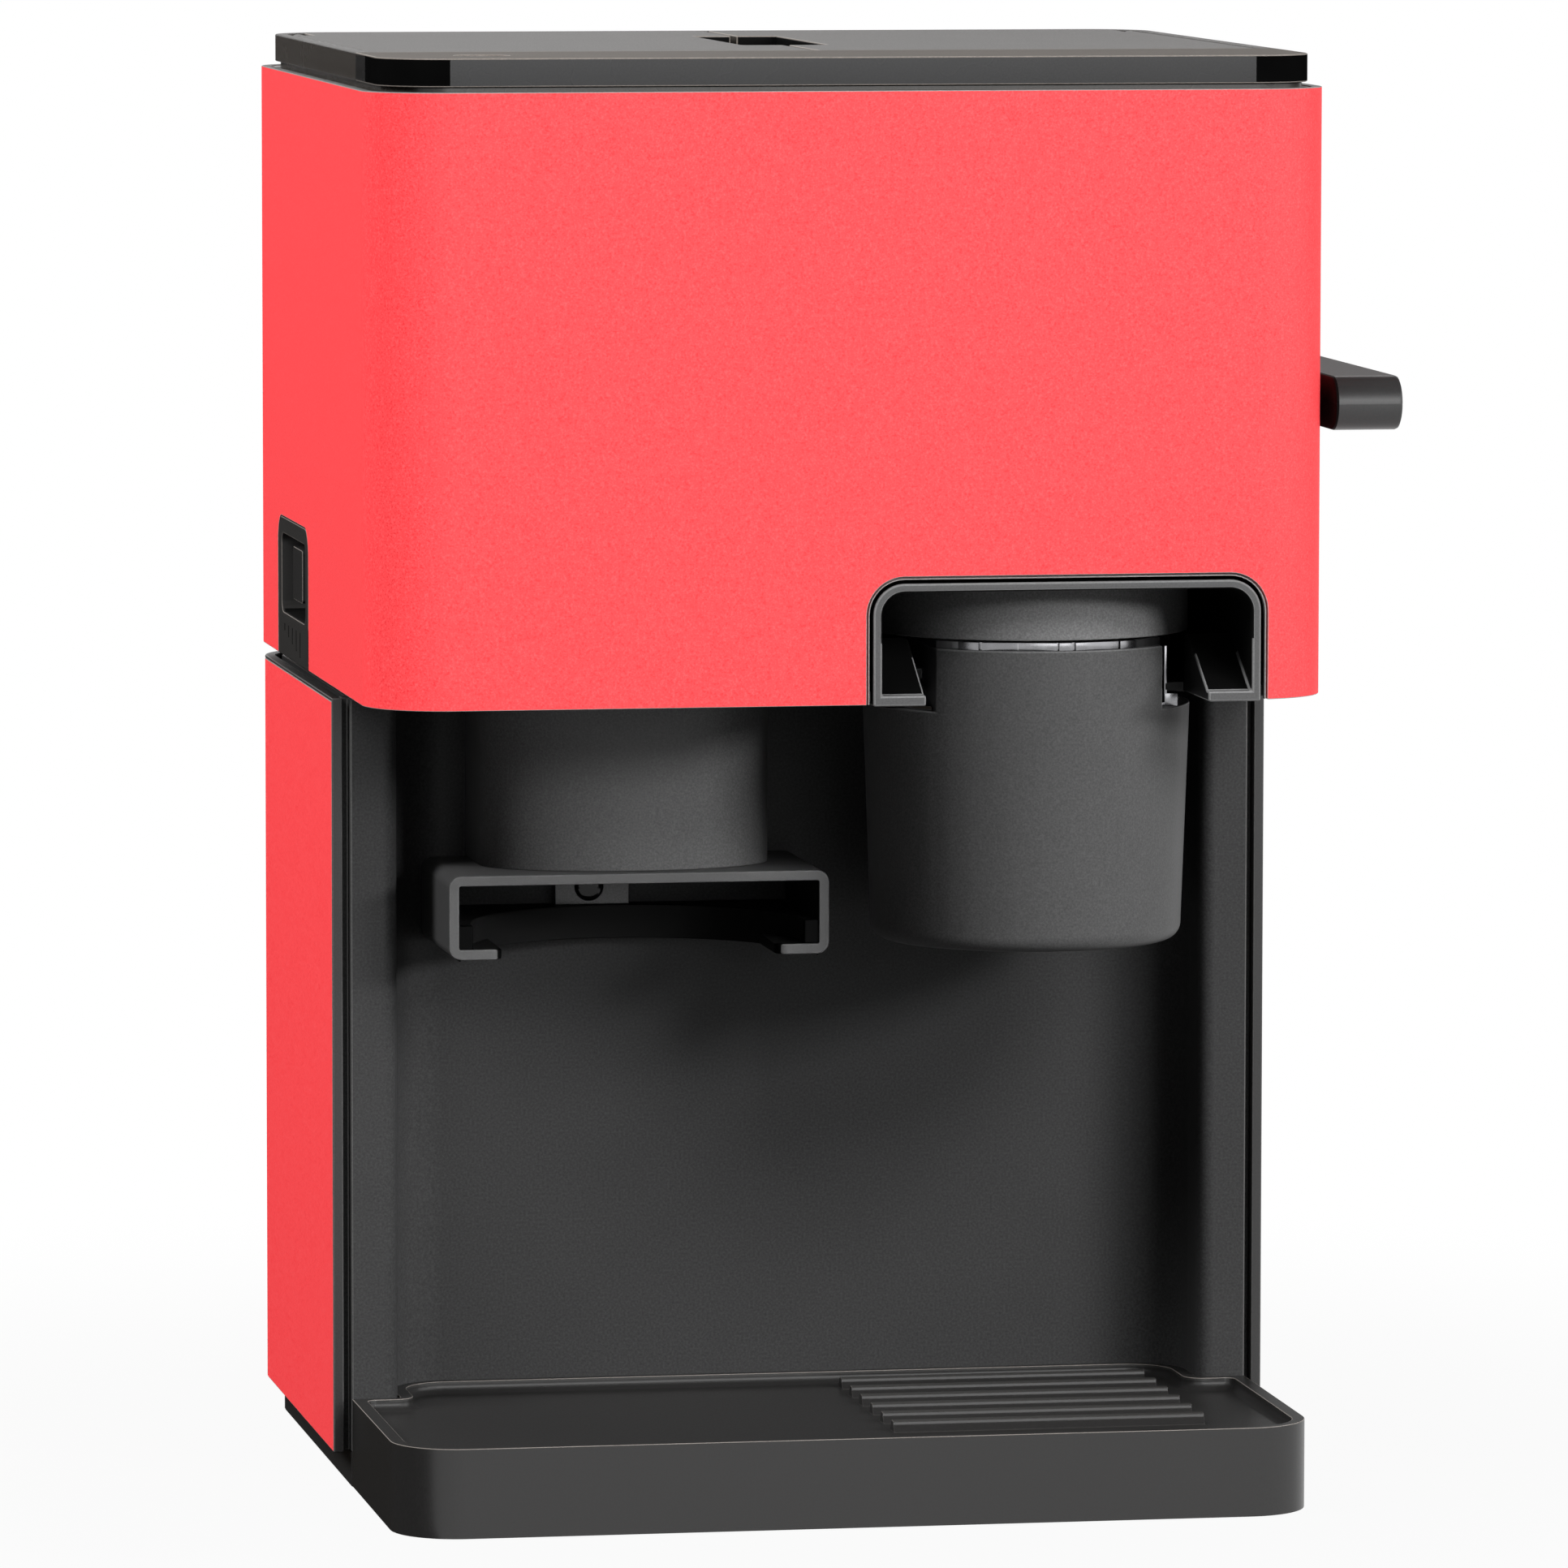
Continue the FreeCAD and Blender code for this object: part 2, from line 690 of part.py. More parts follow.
def make_brew_head():
    skirt_top = brew_head_bottom + brew_skirt
    head = upright(brew_head_radius, dock_x, back(cup_back), brew_head_bottom, skirt_top)
    head = head.fuse(upright(brew_neck_radius, dock_x, back(cup_back), skirt_top, brew_head_top))
    bore = piston_radius + bore_gap
    head = head.cut(upright(bore, dock_x, back(cup_back), brew_head_bottom - 1, brew_head_top - brew_crown))
    head = head.cut(upright(stem_radius + running_gap, dock_x, back(cup_back), brew_head_bottom,
                            brew_head_top + 1))
    port_start = V(dock_x, back(cup_back), brew_pipe_z)
    port_end = V(dock_x, back(cup_back + brew_neck_radius + 1), brew_pipe_z)
    parts["brew_head"] = head.cut(rod(hose_bore, port_start, port_end)).removeSplitter()

    screen_low = brew_head_bottom + fit
    piston_low = screen_low + screen_thick
    piston_high = piston_low + piston_height
    groove_z = (piston_low + piston_high) / 2
    seal_ring = piston_radius + bore_gap / 2 + bore_gap / 4 - seal_radius
    piston = upright(piston_radius, 0, 0, piston_low, piston_high)
    groove = upright(piston_radius + 1, 0, 0, groove_z - seal_radius - fit / 2,
                     groove_z + seal_radius + fit / 2)
    groove = groove.cut(upright(seal_ring - seal_radius - fit / 2, 0, 0, piston_low, piston_high))
    piston = piston.cut(groove).fuse(upright(stem_radius, 0, 0, piston_high, stem_top))
    yoke_y = (0, rack_line - cup_back - gear_module - rack_body / 2)
    piston = piston.fuse(box((-gear_width / 2, gear_width / 2), yoke_y, (stem_top - yoke_thick, stem_top)))
    rack_face = rack_line - cup_back
    piston = piston.cut(box((-gear_width, gear_width),
                            (rack_face - 1.2 * gear_module - rack_body, rack_face),
                            (stem_top - yoke_thick - 1, stem_top + 1)))
    screen = upright(piston_radius - fit, 0, 0, screen_low, piston_low)
    for ring_radius, holes in ((piston_radius / 3, 6), (2 * piston_radius / 3, 12)):
        for index in range(holes):
            angle = 2 * pi * index / holes
            screen = screen.cut(upright(1.0, ring_radius * cos(angle), ring_radius * sin(angle),
                                        screen_low - 1,
                                        piston_low + 1))
    seal = Part.makeTorus(seal_ring, seal_radius, V(0, 0, groove_z))
    for name, solid in (("brew_piston", piston), ("shower_screen", screen), ("piston_seal", seal)):
        solid.translate(cup_axis(0))
        parts[name] = solid


def tooth(half_pitch_width, tall, deep):
    # Half widths of a tooth at its tip and root, from its half width on the pitch line.
    slope = tan(radians(20))
    return half_pitch_width - slope * tall, half_pitch_width + slope * deep


def make_drive():
    tall = 0.8 * gear_module
    deep = 1.2 * gear_module
    pitch = pi * gear_module
    tip, root = tooth(0.2 * pitch, tall, deep)
    rack_y = back(rack_line)
    body_y = (rack_y - deep - rack_body, rack_y - deep)
    rack_x = (dock_x - gear_width / 2, dock_x + gear_width / 2)
    rack = box(rack_x, body_y, (pivot_z - rack_below, stem_top))
    first = -int((rack_below - root) / pitch)
    last = int((stem_top - pivot_z - root) / pitch)
    for index in range(first, last + 1):
        z = pivot_z + index * pitch
        flank = [(rack_y - deep, z - root, 0), (rack_y + tall, z - tip, 0),
                 (rack_y + tall, z + tip, 0), (rack_y - deep, z + root, 0)]
        rack = rack.fuse(side_slab(flank, *rack_x))
    parts["piston_rack"] = rack.removeSplitter()

    core = rod(pitch_radius - deep, lever_axis(rack_x[0]), lever_axis(rack_x[1]))
    pinion = core
    for index in range(pinion_teeth):
        turn = 360.0 * (index + 0.5) / pinion_teeth
        flank = [(-pitch_radius + deep + 0.5, -root, 0), (-pitch_radius - tall, -tip, 0),
                 (-pitch_radius - tall, tip, 0), (-pitch_radius + deep + 0.5, root, 0)]
        cog = side_slab(flank, *rack_x)
        cog.rotate(V(0, 0, 0), V(1, 0, 0), turn)
        cog.translate(lever_axis(0))
        pinion = pinion.fuse(cog)
    shaft_start = lever_axis(rack_x[0] - bush_length - bracket_width)
    boss_end = lever_left + lever_width - boss_inset
    shaft_end = lever_axis(boss_end - fit)
    shaft = rod(shaft_radius, shaft_start, shaft_end)
    parts["lever_shaft"] = shaft
    parts["drive_pinion"] = pinion.removeSplitter().cut(shaft)

    shaft_room = rod(shaft_radius + running_gap, shaft_start, shaft_end)
    wall_bush = rod(shaft_radius + bush_wall, lever_axis(right - bush_length),
                    lever_axis(right + boss_gap - fit))
    inner_end = shaft_start.x + bracket_width
    inner_bush = rod(shaft_radius + bush_wall, shaft_start, lever_axis(inner_end))
    parts["shaft_bushes"] = Part.makeCompound([wall_bush.cut(shaft_room), inner_bush.cut(shaft_room)])
    bracket_y = (back(dock_depth) + fit, back(pivot_back) + bracket_depth)
    bracket_z = (floor_top, pivot_z + shaft_radius + 2 * bush_wall)
    bracket = box((shaft_start.x, inner_end), bracket_y, bracket_z)
    foot = box((shaft_start.x, inner_end + bracket_width), bracket_y, (floor_top, floor_top + bush_wall))
    holder = rod(shaft_radius + 2 * bush_wall, shaft_start, lever_axis(inner_end))
    bracket = bracket.fuse([foot, holder])
    parts["shaft_bracket"] = bracket.cut(inner_bush).removeSplitter()

    half = lever_height / 2
    bar = rect((back(lever_front), back(pivot_back) + half), (pivot_z - half, pivot_z + half), half - 0.01)
    lever = side_slab(bar, lever_left, lever_left + lever_width)
    lever = lever.fuse(rod(lever_boss, lever_axis(right + boss_gap), lever_axis(boss_end)))
    parts["lever"] = lever.cut(shaft).removeSplitter()


def make_cup():
    foot, top = cup_foot_radius, cup_top_radius
    # The wall leans out from the foot to the groove, then stands upright to the rim.
    profile = [(0, cup_bottom), (foot - cup_edge, cup_bottom), (foot, cup_bottom + cup_edge),
               (top, groove_floor), (top, cup_rim), (0, cup_rim)]
    body = turned(profile)
    body = round_edges(body, cup_edge / 2, lambda edge: abs(edge.BoundBox.ZMax - edge.BoundBox.ZMin) < 1e-6
                       and edge.BoundBox.ZMax < cup_bottom + cup_edge + 1e-3
                       and edge.BoundBox.XLength > foot)
    side_x = (neck_half, top + 1)
    for sign in (-1, 1):
        cut_x = sorted((sign * side_x[0], sign * side_x[1]))
        notch = side_slab(rect((-top - 1, top + 1), (groove_floor, cup_rim + 1)), cut_x[0], cut_x[1])
        body = body.cut(notch)
        ear_x = sorted((sign * (neck_half - 1), sign * ear_reach))
        ear_z = lip_top + fit
        body = body.fuse(box(ear_x, (-ear_half_length, ear_half_length), (ear_z, ear_z + ear_thick)))
    sleeve = basket_radius + cup_wall
    body = body.cut(upright(basket_radius, 0, 0, basket_bottom, cup_rim + 1))
    step = basket_radius - cup_wall
    body = body.cut(Part.makeCone(outlet_radius, step, basket_bottom - funnel_foot, V(0, 0, funnel_foot)))
    body = body.cut(upright(outlet_radius, 0, 0, cup_bottom - 1, funnel_foot + 1))
    hollow = turned([(sleeve, cup_bottom - 1), (foot - cup_edge - 1, cup_bottom - 1),
                     (foot - cup_wall, cup_bottom + cup_edge), (top - cup_wall, groove_floor - cup_wall),
                     (sleeve, groove_floor - cup_wall)])
    body = body.cut(hollow)
    basket = upright(basket_radius, 0, 0, basket_bottom, cup_rim + basket_proud)
    flange = upright(basket_flange, 0, 0, cup_rim, cup_rim + basket_proud)
    flange_x = (fit - neck_half, neck_half - fit)
    basket = basket.fuse(flange.common(box(flange_x, (-top, top), (cup_rim - 1, cup_rim + basket_proud + 1))))
    inner = basket_radius - basket_wall
    basket = basket.cut(upright(inner, 0, 0, basket_bottom + basket_wall, cup_rim + basket_proud + 1))
    basket = basket.cut(upright(step, 0, 0, basket_bottom - 1, basket_bottom + 2 * basket_wall))
    sieve_low = basket_bottom + basket_wall
    sieve = upright(inner - running_gap, 0, 0, sieve_low, sieve_low + basket_wall)
    for ring_radius, holes in ((inner / 4, 6), (inner / 2, 12), (3 * inner / 4, 18)):
        for index in range(holes):
            angle = 2 * pi * index / holes
            sieve = sieve.cut(upright(0.8, ring_radius * cos(angle), ring_radius * sin(angle),
                                      sieve_low - 1,
                                      sieve_low + 2))
    disc = upright(top - cup_wall, 0, 0, groove_floor, groove_floor + collar_thick)
    collar = disc.cut(box((-neck_half - fit, neck_half + fit), (-top, top), (groove_floor - 1, cup_rim)))
    body = body.removeSplitter()
    for name, solid in (("brew_cup", body), ("cup_collar", collar), ("cup_basket", basket),
                        ("cup_sieve", sieve)):
        solid.translate(cup_axis(0))
        parts[name] = solid


def column_face(inset, low):
    # Half-ellipse front with straight sides running back to the bay's rear wall.
    half = column_half - inset
    reach = column_reach - inset
    middle = V(grinder_x, back(column_back), low)
    ellipse = Part.Ellipse(middle, half, reach)
    nose = Part.ArcOfEllipse(ellipse, pi, 2 * pi).toShape()
    far = back(back_wall_front)
    right = V(grinder_x + half, middle.y, low)
    left = V(grinder_x - half, middle.y, low)
    sides = Part.makePolygon([right, V(right.x, far, low), V(left.x, far, low), left])
    return Part.Face(Part.Wire([nose] + sides.Edges))


def make_grinder_station():
    height = floor_bottom - grind_dock_top
    column = column_face(0, grind_dock_top).extrude(V(0, 0, height))
    parts["grinder_column"] = column.cut(column_face(column_wall, grind_dock_top).extrude(V(0, 0, height)))

    near, far = back(grind_dock_front), back(back_wall_front)
    outer = rect((grinder_x - grind_dock_half, grinder_x + grind_dock_half),
                 (grind_dock_bottom, grind_dock_top),
                 grind_dock_corner)
    inner_half = grind_dock_half - grind_dock_wall
    inner_z = (grind_dock_bottom + grind_dock_wall, grind_dock_top - grind_dock_wall)
    inner_x = (grinder_x - inner_half, grinder_x + inner_half)
    dock = front_slab(outer, near, far)
    dock = dock.cut(front_slab(rect(inner_x, inner_z, grind_dock_corner - grind_dock_wall), near - 1,
                               far + 1))
    stop = box(inner_x, (back(grind_stop_back), far),
               (grind_dock_bottom, grind_dock_bottom + grind_stop_height))
    dock = dock.fuse(stop).removeSplitter()
    gap_x = (grinder_x - grind_lip_half, grinder_x + grind_lip_half)
    low = grind_dock_bottom - 1
    dock = dock.cut(box(gap_x, (near - 1, back(grind_stop_back)), (low, inner_z[0] + 1)))
    dock = dock.cut(upright(grind_stop_radius, grinder_x, back(grind_stop_back), inner_z[0], inner_z[1]))
    opening = upright(grind_stop_radius, grinder_x, back(grind_stop_back), low, inner_z[1])
    opening = opening.common(box(gap_x, (back(grind_stop_back) - 1, far), (low, inner_z[1])))
    dock = dock.cut(opening)
    chute_y = (back(chute_front) - fit, back(chute_front + chute_depth) + fit)
    dock = dock.cut(box((grinder_x - chute_half - fit, grinder_x + chute_half + fit), chute_y,
                        (inner_z[1] - 1, grind_dock_top + 1)))
    dock = dock.common(slab(bay_plan(), 0, head_top)).removeSplitter()

    def at_lip_mouth(edge):
        bounds = edge.BoundBox
        if bounds.ZLength < 1 or bounds.YLength > 1e-6 or abs(bounds.YMin - near) > 1e-3:
            return False
        return min(abs(bounds.XMin - x) for x in gap_x) < 1e-3

    parts["grinder_dock"] = round_edges(dock, grind_lip_round, at_lip_mouth)

    plate_y = (far - 2 * bracket_plate, far - bracket_plate)
    plate_x = (grinder_x + bracket_left, grinder_x + bracket_right)
    plate = box(plate_x, plate_y, (grind_dock_bottom + grind_stop_height, inner_z[1]))
    hole = rod(sensor_radius, V(grinder_x + sensor_x, plate_y[0] - 1, sensor_z),
               V(grinder_x + sensor_x, plate_y[1] + 1, sensor_z))
    parts["sensor_bracket"] = plate.cut(hole)
    eye = rod(sensor_radius, V(grinder_x + sensor_x, plate_y[0] - 1, sensor_z),
              V(grinder_x + sensor_x, plate_y[1] + 1, sensor_z))
    eye = eye.makeFillet(1.0, [edge for edge in eye.Edges if edge.BoundBox.YMax < plate_y[0] - 0.9])
    parts["cup_sensor"] = eye

    chute_low = inner_z[1]
    chute_high = housing_bottom + housing_wall + 2 * chute_wall + chute_half
    chute_x = (grinder_x - chute_half, grinder_x + chute_half)
    chute_y = (back(chute_front), back(chute_front + chute_depth))
    chute = box(chute_x, chute_y, (chute_low, chute_high))
    hollow_x = (chute_x[0] + chute_wall, chute_x[1] - chute_wall)
    chute = chute.cut(box(hollow_x, (chute_y[0] + chute_wall, chute_y[1] - chute_wall),
                          (chute_low - 1, chute_high - chute_wall)))
    door_z = (housing_bottom + housing_wall, chute_high - chute_wall)
    chute = chute.cut(box(hollow_x, (chute_y[0] + chute_wall, chute_y[1] + 1), door_z))
    parts["grounds_chute"] = chute

    housing_top = housing_bottom + housing_height
    housing = upright(housing_radius, grinder_x, back(burr_back), housing_bottom, housing_top)
    room = housing_radius - housing_wall
    floor = housing_bottom + housing_wall
    housing = housing.cut(upright(room, grinder_x, back(burr_back), floor, housing_top + 1))
    shaft_hole = burr_shaft_radius + running_gap
    housing = housing.cut(upright(shaft_hole, grinder_x, back(burr_back), housing_bottom - 1, floor + 1))
    housing = housing.cut(box(hollow_x, (back(burr_back - housing_radius), back(burr_back - room / 2)),
                              door_z))
    parts["grinder_housing"] = housing

    motor = upright(motor_radius, grinder_x, back(burr_back), motor_bottom, housing_bottom)
    motor = motor.fuse(upright(motor_flange, grinder_x, back(burr_back),
                               housing_bottom - motor_flange_thick,
                               housing_bottom))
    shaft_low = housing_bottom - 2 * motor_flange
    motor = motor.cut(upright(shaft_hole, grinder_x, back(burr_back), shaft_low - fit, housing_bottom + 1))
    parts["grinder_motor"] = motor.removeSplitter()

    cone_low = floor + burr_skirt
    cone_high = ring_bottom
    lean = 0.5
    throat = burr_radius - burr_ring
    upper = turned([(burr_radius, cone_low), (burr_radius, cone_high),
                    (throat - lean * (cone_high - cone_low), cone_high), (throat, cone_low)])
    burr_low = floor + sweeper_height
    burr_high = cone_high - burr_nose
    foot = throat - burr_gap
    lower = turned([(burr_shaft_radius, burr_low), (foot, burr_low), (foot, cone_low),
                    (foot - lean * (burr_high - cone_low), burr_high), (burr_shaft_radius, burr_high)])
    flute_low = (cone_low + burr_low) / 2
    for index in range(burr_flutes):
        flute = box((foot - flute_deep, foot + flute_deep), (-flute_half, flute_half),
                    (flute_low, burr_high + 1))
        flute.rotate(V(foot, 0, cone_low), V(0, 1, 0), -26)
        flute.rotate(V(0, 0, 0), V(0, 0, 1), 360.0 * index / burr_flutes)
        lower = lower.cut(flute)
    sweep = room - sweeper_gap
    sweeper = turned([(burr_shaft_radius, floor + fit), (sweep, floor + fit),
                      (sweep, floor + fit + sweeper_thick),
                      (burr_shaft_radius, floor + fit + sweeper_thick)])
    hub = turned([(burr_shaft_radius, floor + fit), (foot / 2, floor + fit), (foot / 2, burr_low),
                  (burr_shaft_radius, burr_low)])
    vane = box((foot / 2 - vane_half, sweep), (-vane_half, vane_half), (floor + fit, burr_low - vane_half))
    vanes = []
    for index in range(3):
        blade = vane.copy()
        blade.rotate(V(0, 0, 0), V(0, 0, 1), 120.0 * index + 30)
        vanes.append(blade)
    sweeper = sweeper.fuse([hub] + vanes).removeSplitter()
    shaft = upright(burr_shaft_radius, 0, 0, shaft_low, burr_high)
    ring_top = ring_bottom + ring_thick
    ring = upright(ring_radius, 0, 0, ring_bottom, ring_top)
    reach_x = post_x - grinder_x
    reach_y = slider_middle - burr_back
    reach = hypot(reach_x, reach_y)
    arm_end = arm_reach + post_radius
    arm = box((ring_bore + 1, arm_end), (-arm_width / 2, arm_width / 2),
              (ring_bottom, ring_bottom + arm_thick))
    slot = post_radius + post_slack
    slot_start = reach - slider_backward - post_radius
    arm = arm.cut(box((slot_start, arm_end + 1), (-slot, slot), (ring_bottom - 1, ring_top)))
    arm.rotate(V(0, 0, 0), V(0, 0, 1), 180 / pi * V(1, 0, 0).getAngle(V(reach_x, reach_y, 0)))
    ring = ring.fuse(arm).cut(upright(ring_bore, 0, 0, ring_bottom - 1, ring_top + 1)).removeSplitter()
    for name, solid in (("upper_burr", upper), ("lower_burr", lower), ("burr_sweeper", sweeper),
                        ("burr_shaft", shaft), ("adjust_ring", ring)):
        solid.translate(burr_axis(0))
        parts[name] = solid


def make_hopper():
    top = deck_bottom
    low = ring_bottom + ring_thick + hopper_lift
    x = (hopper_left, hopper_right)
    y = (back(hopper_front), back(hopper_back))
    throat_x = (grinder_x - hopper_throat, grinder_x + hopper_throat)
    throat_y = (back(burr_back - hopper_throat), back(burr_back + hopper_throat))
    wall = hopper_wall
    outer = box(x, y, (hopper_shoulder, top)).fuse(frustum(throat_x, throat_y, low, x, y, hopper_shoulder))

    def shrink(pair):
        return (pair[0] + wall, pair[1] - wall)

    inner = box(shrink(x), shrink(y), (hopper_shoulder, top + 1))
    inner = inner.fuse(frustum(shrink(throat_x), shrink(throat_y), low - 0.01, shrink(x), shrink(y),
                               hopper_shoulder))
    parts["bean_hopper"] = outer.cut(inner).removeSplitter()


def make_body():
    low = panel_bottom
    span = (-column_half_span, column_half_span)
    block = box(span, (back(column_front), back(back_wall_front + back_wall)), (low, panel_top))
    frame = block.cut(slab(bay_plan(), low - 1, panel_top + 1))
    frame = round_edges(frame, column_round, lambda edge: edge.BoundBox.ZLength > 1
                        and abs(edge.BoundBox.YMax - back(column_front)) < 1e-3
                        and abs(abs(edge.BoundBox.XMax) - bay_half) < 1e-3)
    side_y = (back(back_wall_front), back(side_wall_back))
    walls = [box(span, side_y, (panel_top - top_plate, panel_top))]
    for sign in (-1, 1):
        wall_x = sorted((sign * column_half_span, sign * (column_half_span - side_wall)))
        walls.append(box(wall_x, side_y, (low, panel_top)))
        rib_x = sorted((sign * column_half_span, sign * (head_width / 2 - panel_inset - panel_wall)))
        rib_y = (back(column_front) + column_round, back(column_front) + 2 * column_round)
        walls.append(box(rib_x, rib_y, (low, panel_top)))
    neck_x = (-bay_half, bay_half)
    neck_y = (back(back_wall_front), back(side_wall_back))
    neck = box(neck_x, neck_y, (panel_top, floor_bottom))
    neck = neck.cut(box((neck_x[0] + neck_width, neck_x[1] - neck_width),
                        (neck_y[0] + back_wall, neck_y[1] - neck_width), (panel_top - 1, floor_bottom + 1)))
    frame = frame.fuse(walls + [neck])
    frame = frame.cut(upright(motor_radius + fit, grinder_x, back(burr_back), motor_bottom - 1,
                              floor_bottom + 1))
    frame = frame.cut(upright(spout_radius + fit, spout_x, back(spout_back), low, floor_bottom + 1))
    frame = frame.cut(upright(hose_radius + fit, suction_x, back(pump_back), low, floor_bottom + 1))

    panel = slab(head_plan(panel_inset), panel_bottom, panel_top)
    panel = panel.cut(slab(head_plan(panel_inset + panel_wall), panel_bottom - 1, panel_top + 1))
    bay_room = box((-head_width, head_width), (front - 1, back(panel_front)), (0, head_top))
    panel = panel.cut(bay_room)
    skin = slab(head_plan(panel_inset), panel_bottom, panel_top - skin_thick)
    skin = skin.cut(slab(head_plan(panel_inset + skin_thick), panel_bottom - 1, panel_top + 1))
    skin = skin.cut(box((-head_width, head_width), (front - 1, back(panel_front) + skin_thick),
                        (0, head_top)))
    inlet = rect((inlet_x - inlet_half, inlet_x + inlet_half), (inlet_bottom, inlet_top), 3.0)
    socket_y = (rear - inlet_depth, rear - panel_inset)
    socket = front_slab(inlet, *socket_y)
    window = front_slab(inlet, rear - 2 * panel_wall - panel_inset, rear + 1)
    parts["rear_panel"] = panel.cut(skin).cut(window)
    parts["rear_skin"] = skin.cut(window)
    hollow_x = (inlet_x - inlet_half + inlet_wall, inlet_x + inlet_half - inlet_wall)
    hollow_z = (inlet_bottom + inlet_wall, inlet_top - inlet_wall)
    socket = socket.cut(front_slab(rect(hollow_x, hollow_z, 2.0), socket_y[0] + inlet_wall, rear + 1))
    middle_z = (inlet_bottom + inlet_top) / 2
    for step in (-1, 0, 1):
        pin_x = inlet_x + step * inlet_half / 2
        socket = socket.fuse(box((pin_x - 1, pin_x + 1), (socket_y[0] + 1, socket_y[1] - inlet_depth / 3),
                                 (middle_z - 3, middle_z + 3)))
    parts["inlet_socket"] = socket.removeSplitter()

    tank = slab(rect((-tank_half, tank_half), (back(tank_front), back(tank_back)), tank_corner), base_floor,
                tank_top)
    tank_x = (-tank_half + tank_wall, tank_half - tank_wall)
    tank_y = (back(tank_front) + tank_wall, back(tank_back) - tank_wall)
    tank = tank.cut(slab(rect(tank_x, tank_y, tank_corner - tank_wall), base_floor + tank_wall,
                         tank_top + 1))
    parts["water_tank"] = tank

    base_half = column_half_span
    base_y = (back(panel_front), rear - column_inset)
    corner = head_round - column_inset
    plan = rect((-base_half, base_half), base_y, (0, 0, corner, corner))
    base = slab(plan, 0, panel_bottom)
    inner_x = (-base_half + base_wall, base_half - base_wall)
    inner_y = (base_y[0] + base_wall, base_y[1] - base_wall)
    inner_corner = corner - base_wall
    base = base.cut(slab(rect(inner_x, inner_y, (0, 0, inner_corner, inner_corner)), base_floor,
                         panel_bottom + 1))
    wall_y = (back(back_wall_front), back(back_wall_front + back_wall))
    cross = box((-base_half, base_half), wall_y, (0, panel_bottom))
    platform = slab(rect((-platform_half, platform_half), (back(platform_front), wall_y[0]),
                         (0, 0, platform_corner, platform_corner)), 0, tray_under - fit)
    hollow_corner = platform_corner - base_wall
    hollow = slab(rect((-platform_half + base_wall, platform_half - base_wall),
                       (back(platform_front) + base_wall, wall_y[0] - base_wall),
                       (0, 0, hollow_corner, hollow_corner)), base_floor, tray_under - fit - base_floor)
    base = base.cut(box((-platform_half, platform_half), (base_y[0] - 1, wall_y[0]),
                        (base_floor, panel_bottom + 1)))
    base = base.fuse([cross, platform]).cut(hollow)
    drain = box((-platform_half / 2, platform_half / 2),
                (back(platform_front) + 2 * base_wall, back(panel_front)),
                (-1, base_floor + 1))
    base = base.cut(drain)
    screw_spots = []
    for x in (-1, 1):
        screw_x = x * (column_half_span - column_width / 2)
        for y in (column_front + boss_radius + base_wall, back_wall_front - boss_radius / 2):
            screw_spots.append((screw_x, back(y)))
    feet = []
    for x in (-1, 1):
        for y in (back(tank_front), back(tank_back) - 2 * foot_radius):
            spot = (x * (platform_half - foot_radius), y)
            foot = upright(foot_radius, *spot, 0, foot_thick)
            feet.append(foot)
            base = base.cut(foot)
    screws = []
    for x, y in screw_spots:
        boss = upright(boss_radius, x, y, 0, panel_bottom)
        head = upright(screw_head, x, y, 0.5, 0.5 + screw_head_thick)
        shank = upright(screw_radius, x, y, 0.5 + screw_head_thick, 0.5 + screw_head_thick + screw_length)
        base = base.fuse(boss)
        base = base.cut(upright(screw_head, x, y, -1, 0.5 + screw_head_thick))
        base = base.cut(shank)
        frame = frame.cut(shank)
        screws.append(head.fuse(shank))
    parts["base"] = base.removeSplitter()
    parts["feet"] = Part.makeCompound(feet)
    parts["base_screws"] = Part.makeCompound(screws)
    parts["body_frame"] = frame.removeSplitter()


def tray_plan(side, near, far, corner, step):
    # Wide in front of the columns, narrower between them.
    outer = column_half_span - side
    inner = bay_half - fit - side
    split = back(column_front) - fit - far
    rear_edge = back(back_wall_front) - fit - far
    bay = bay_corner - fit - side
    return [(-outer, front - tray_overhang + near, corner), (outer, front - tray_overhang + near, corner),
            (outer, split, step / 2), (inner, split, step), (inner, rear_edge, bay),
            (-inner, rear_edge, bay), (-inner, split, step), (-outer, split, step / 2)]


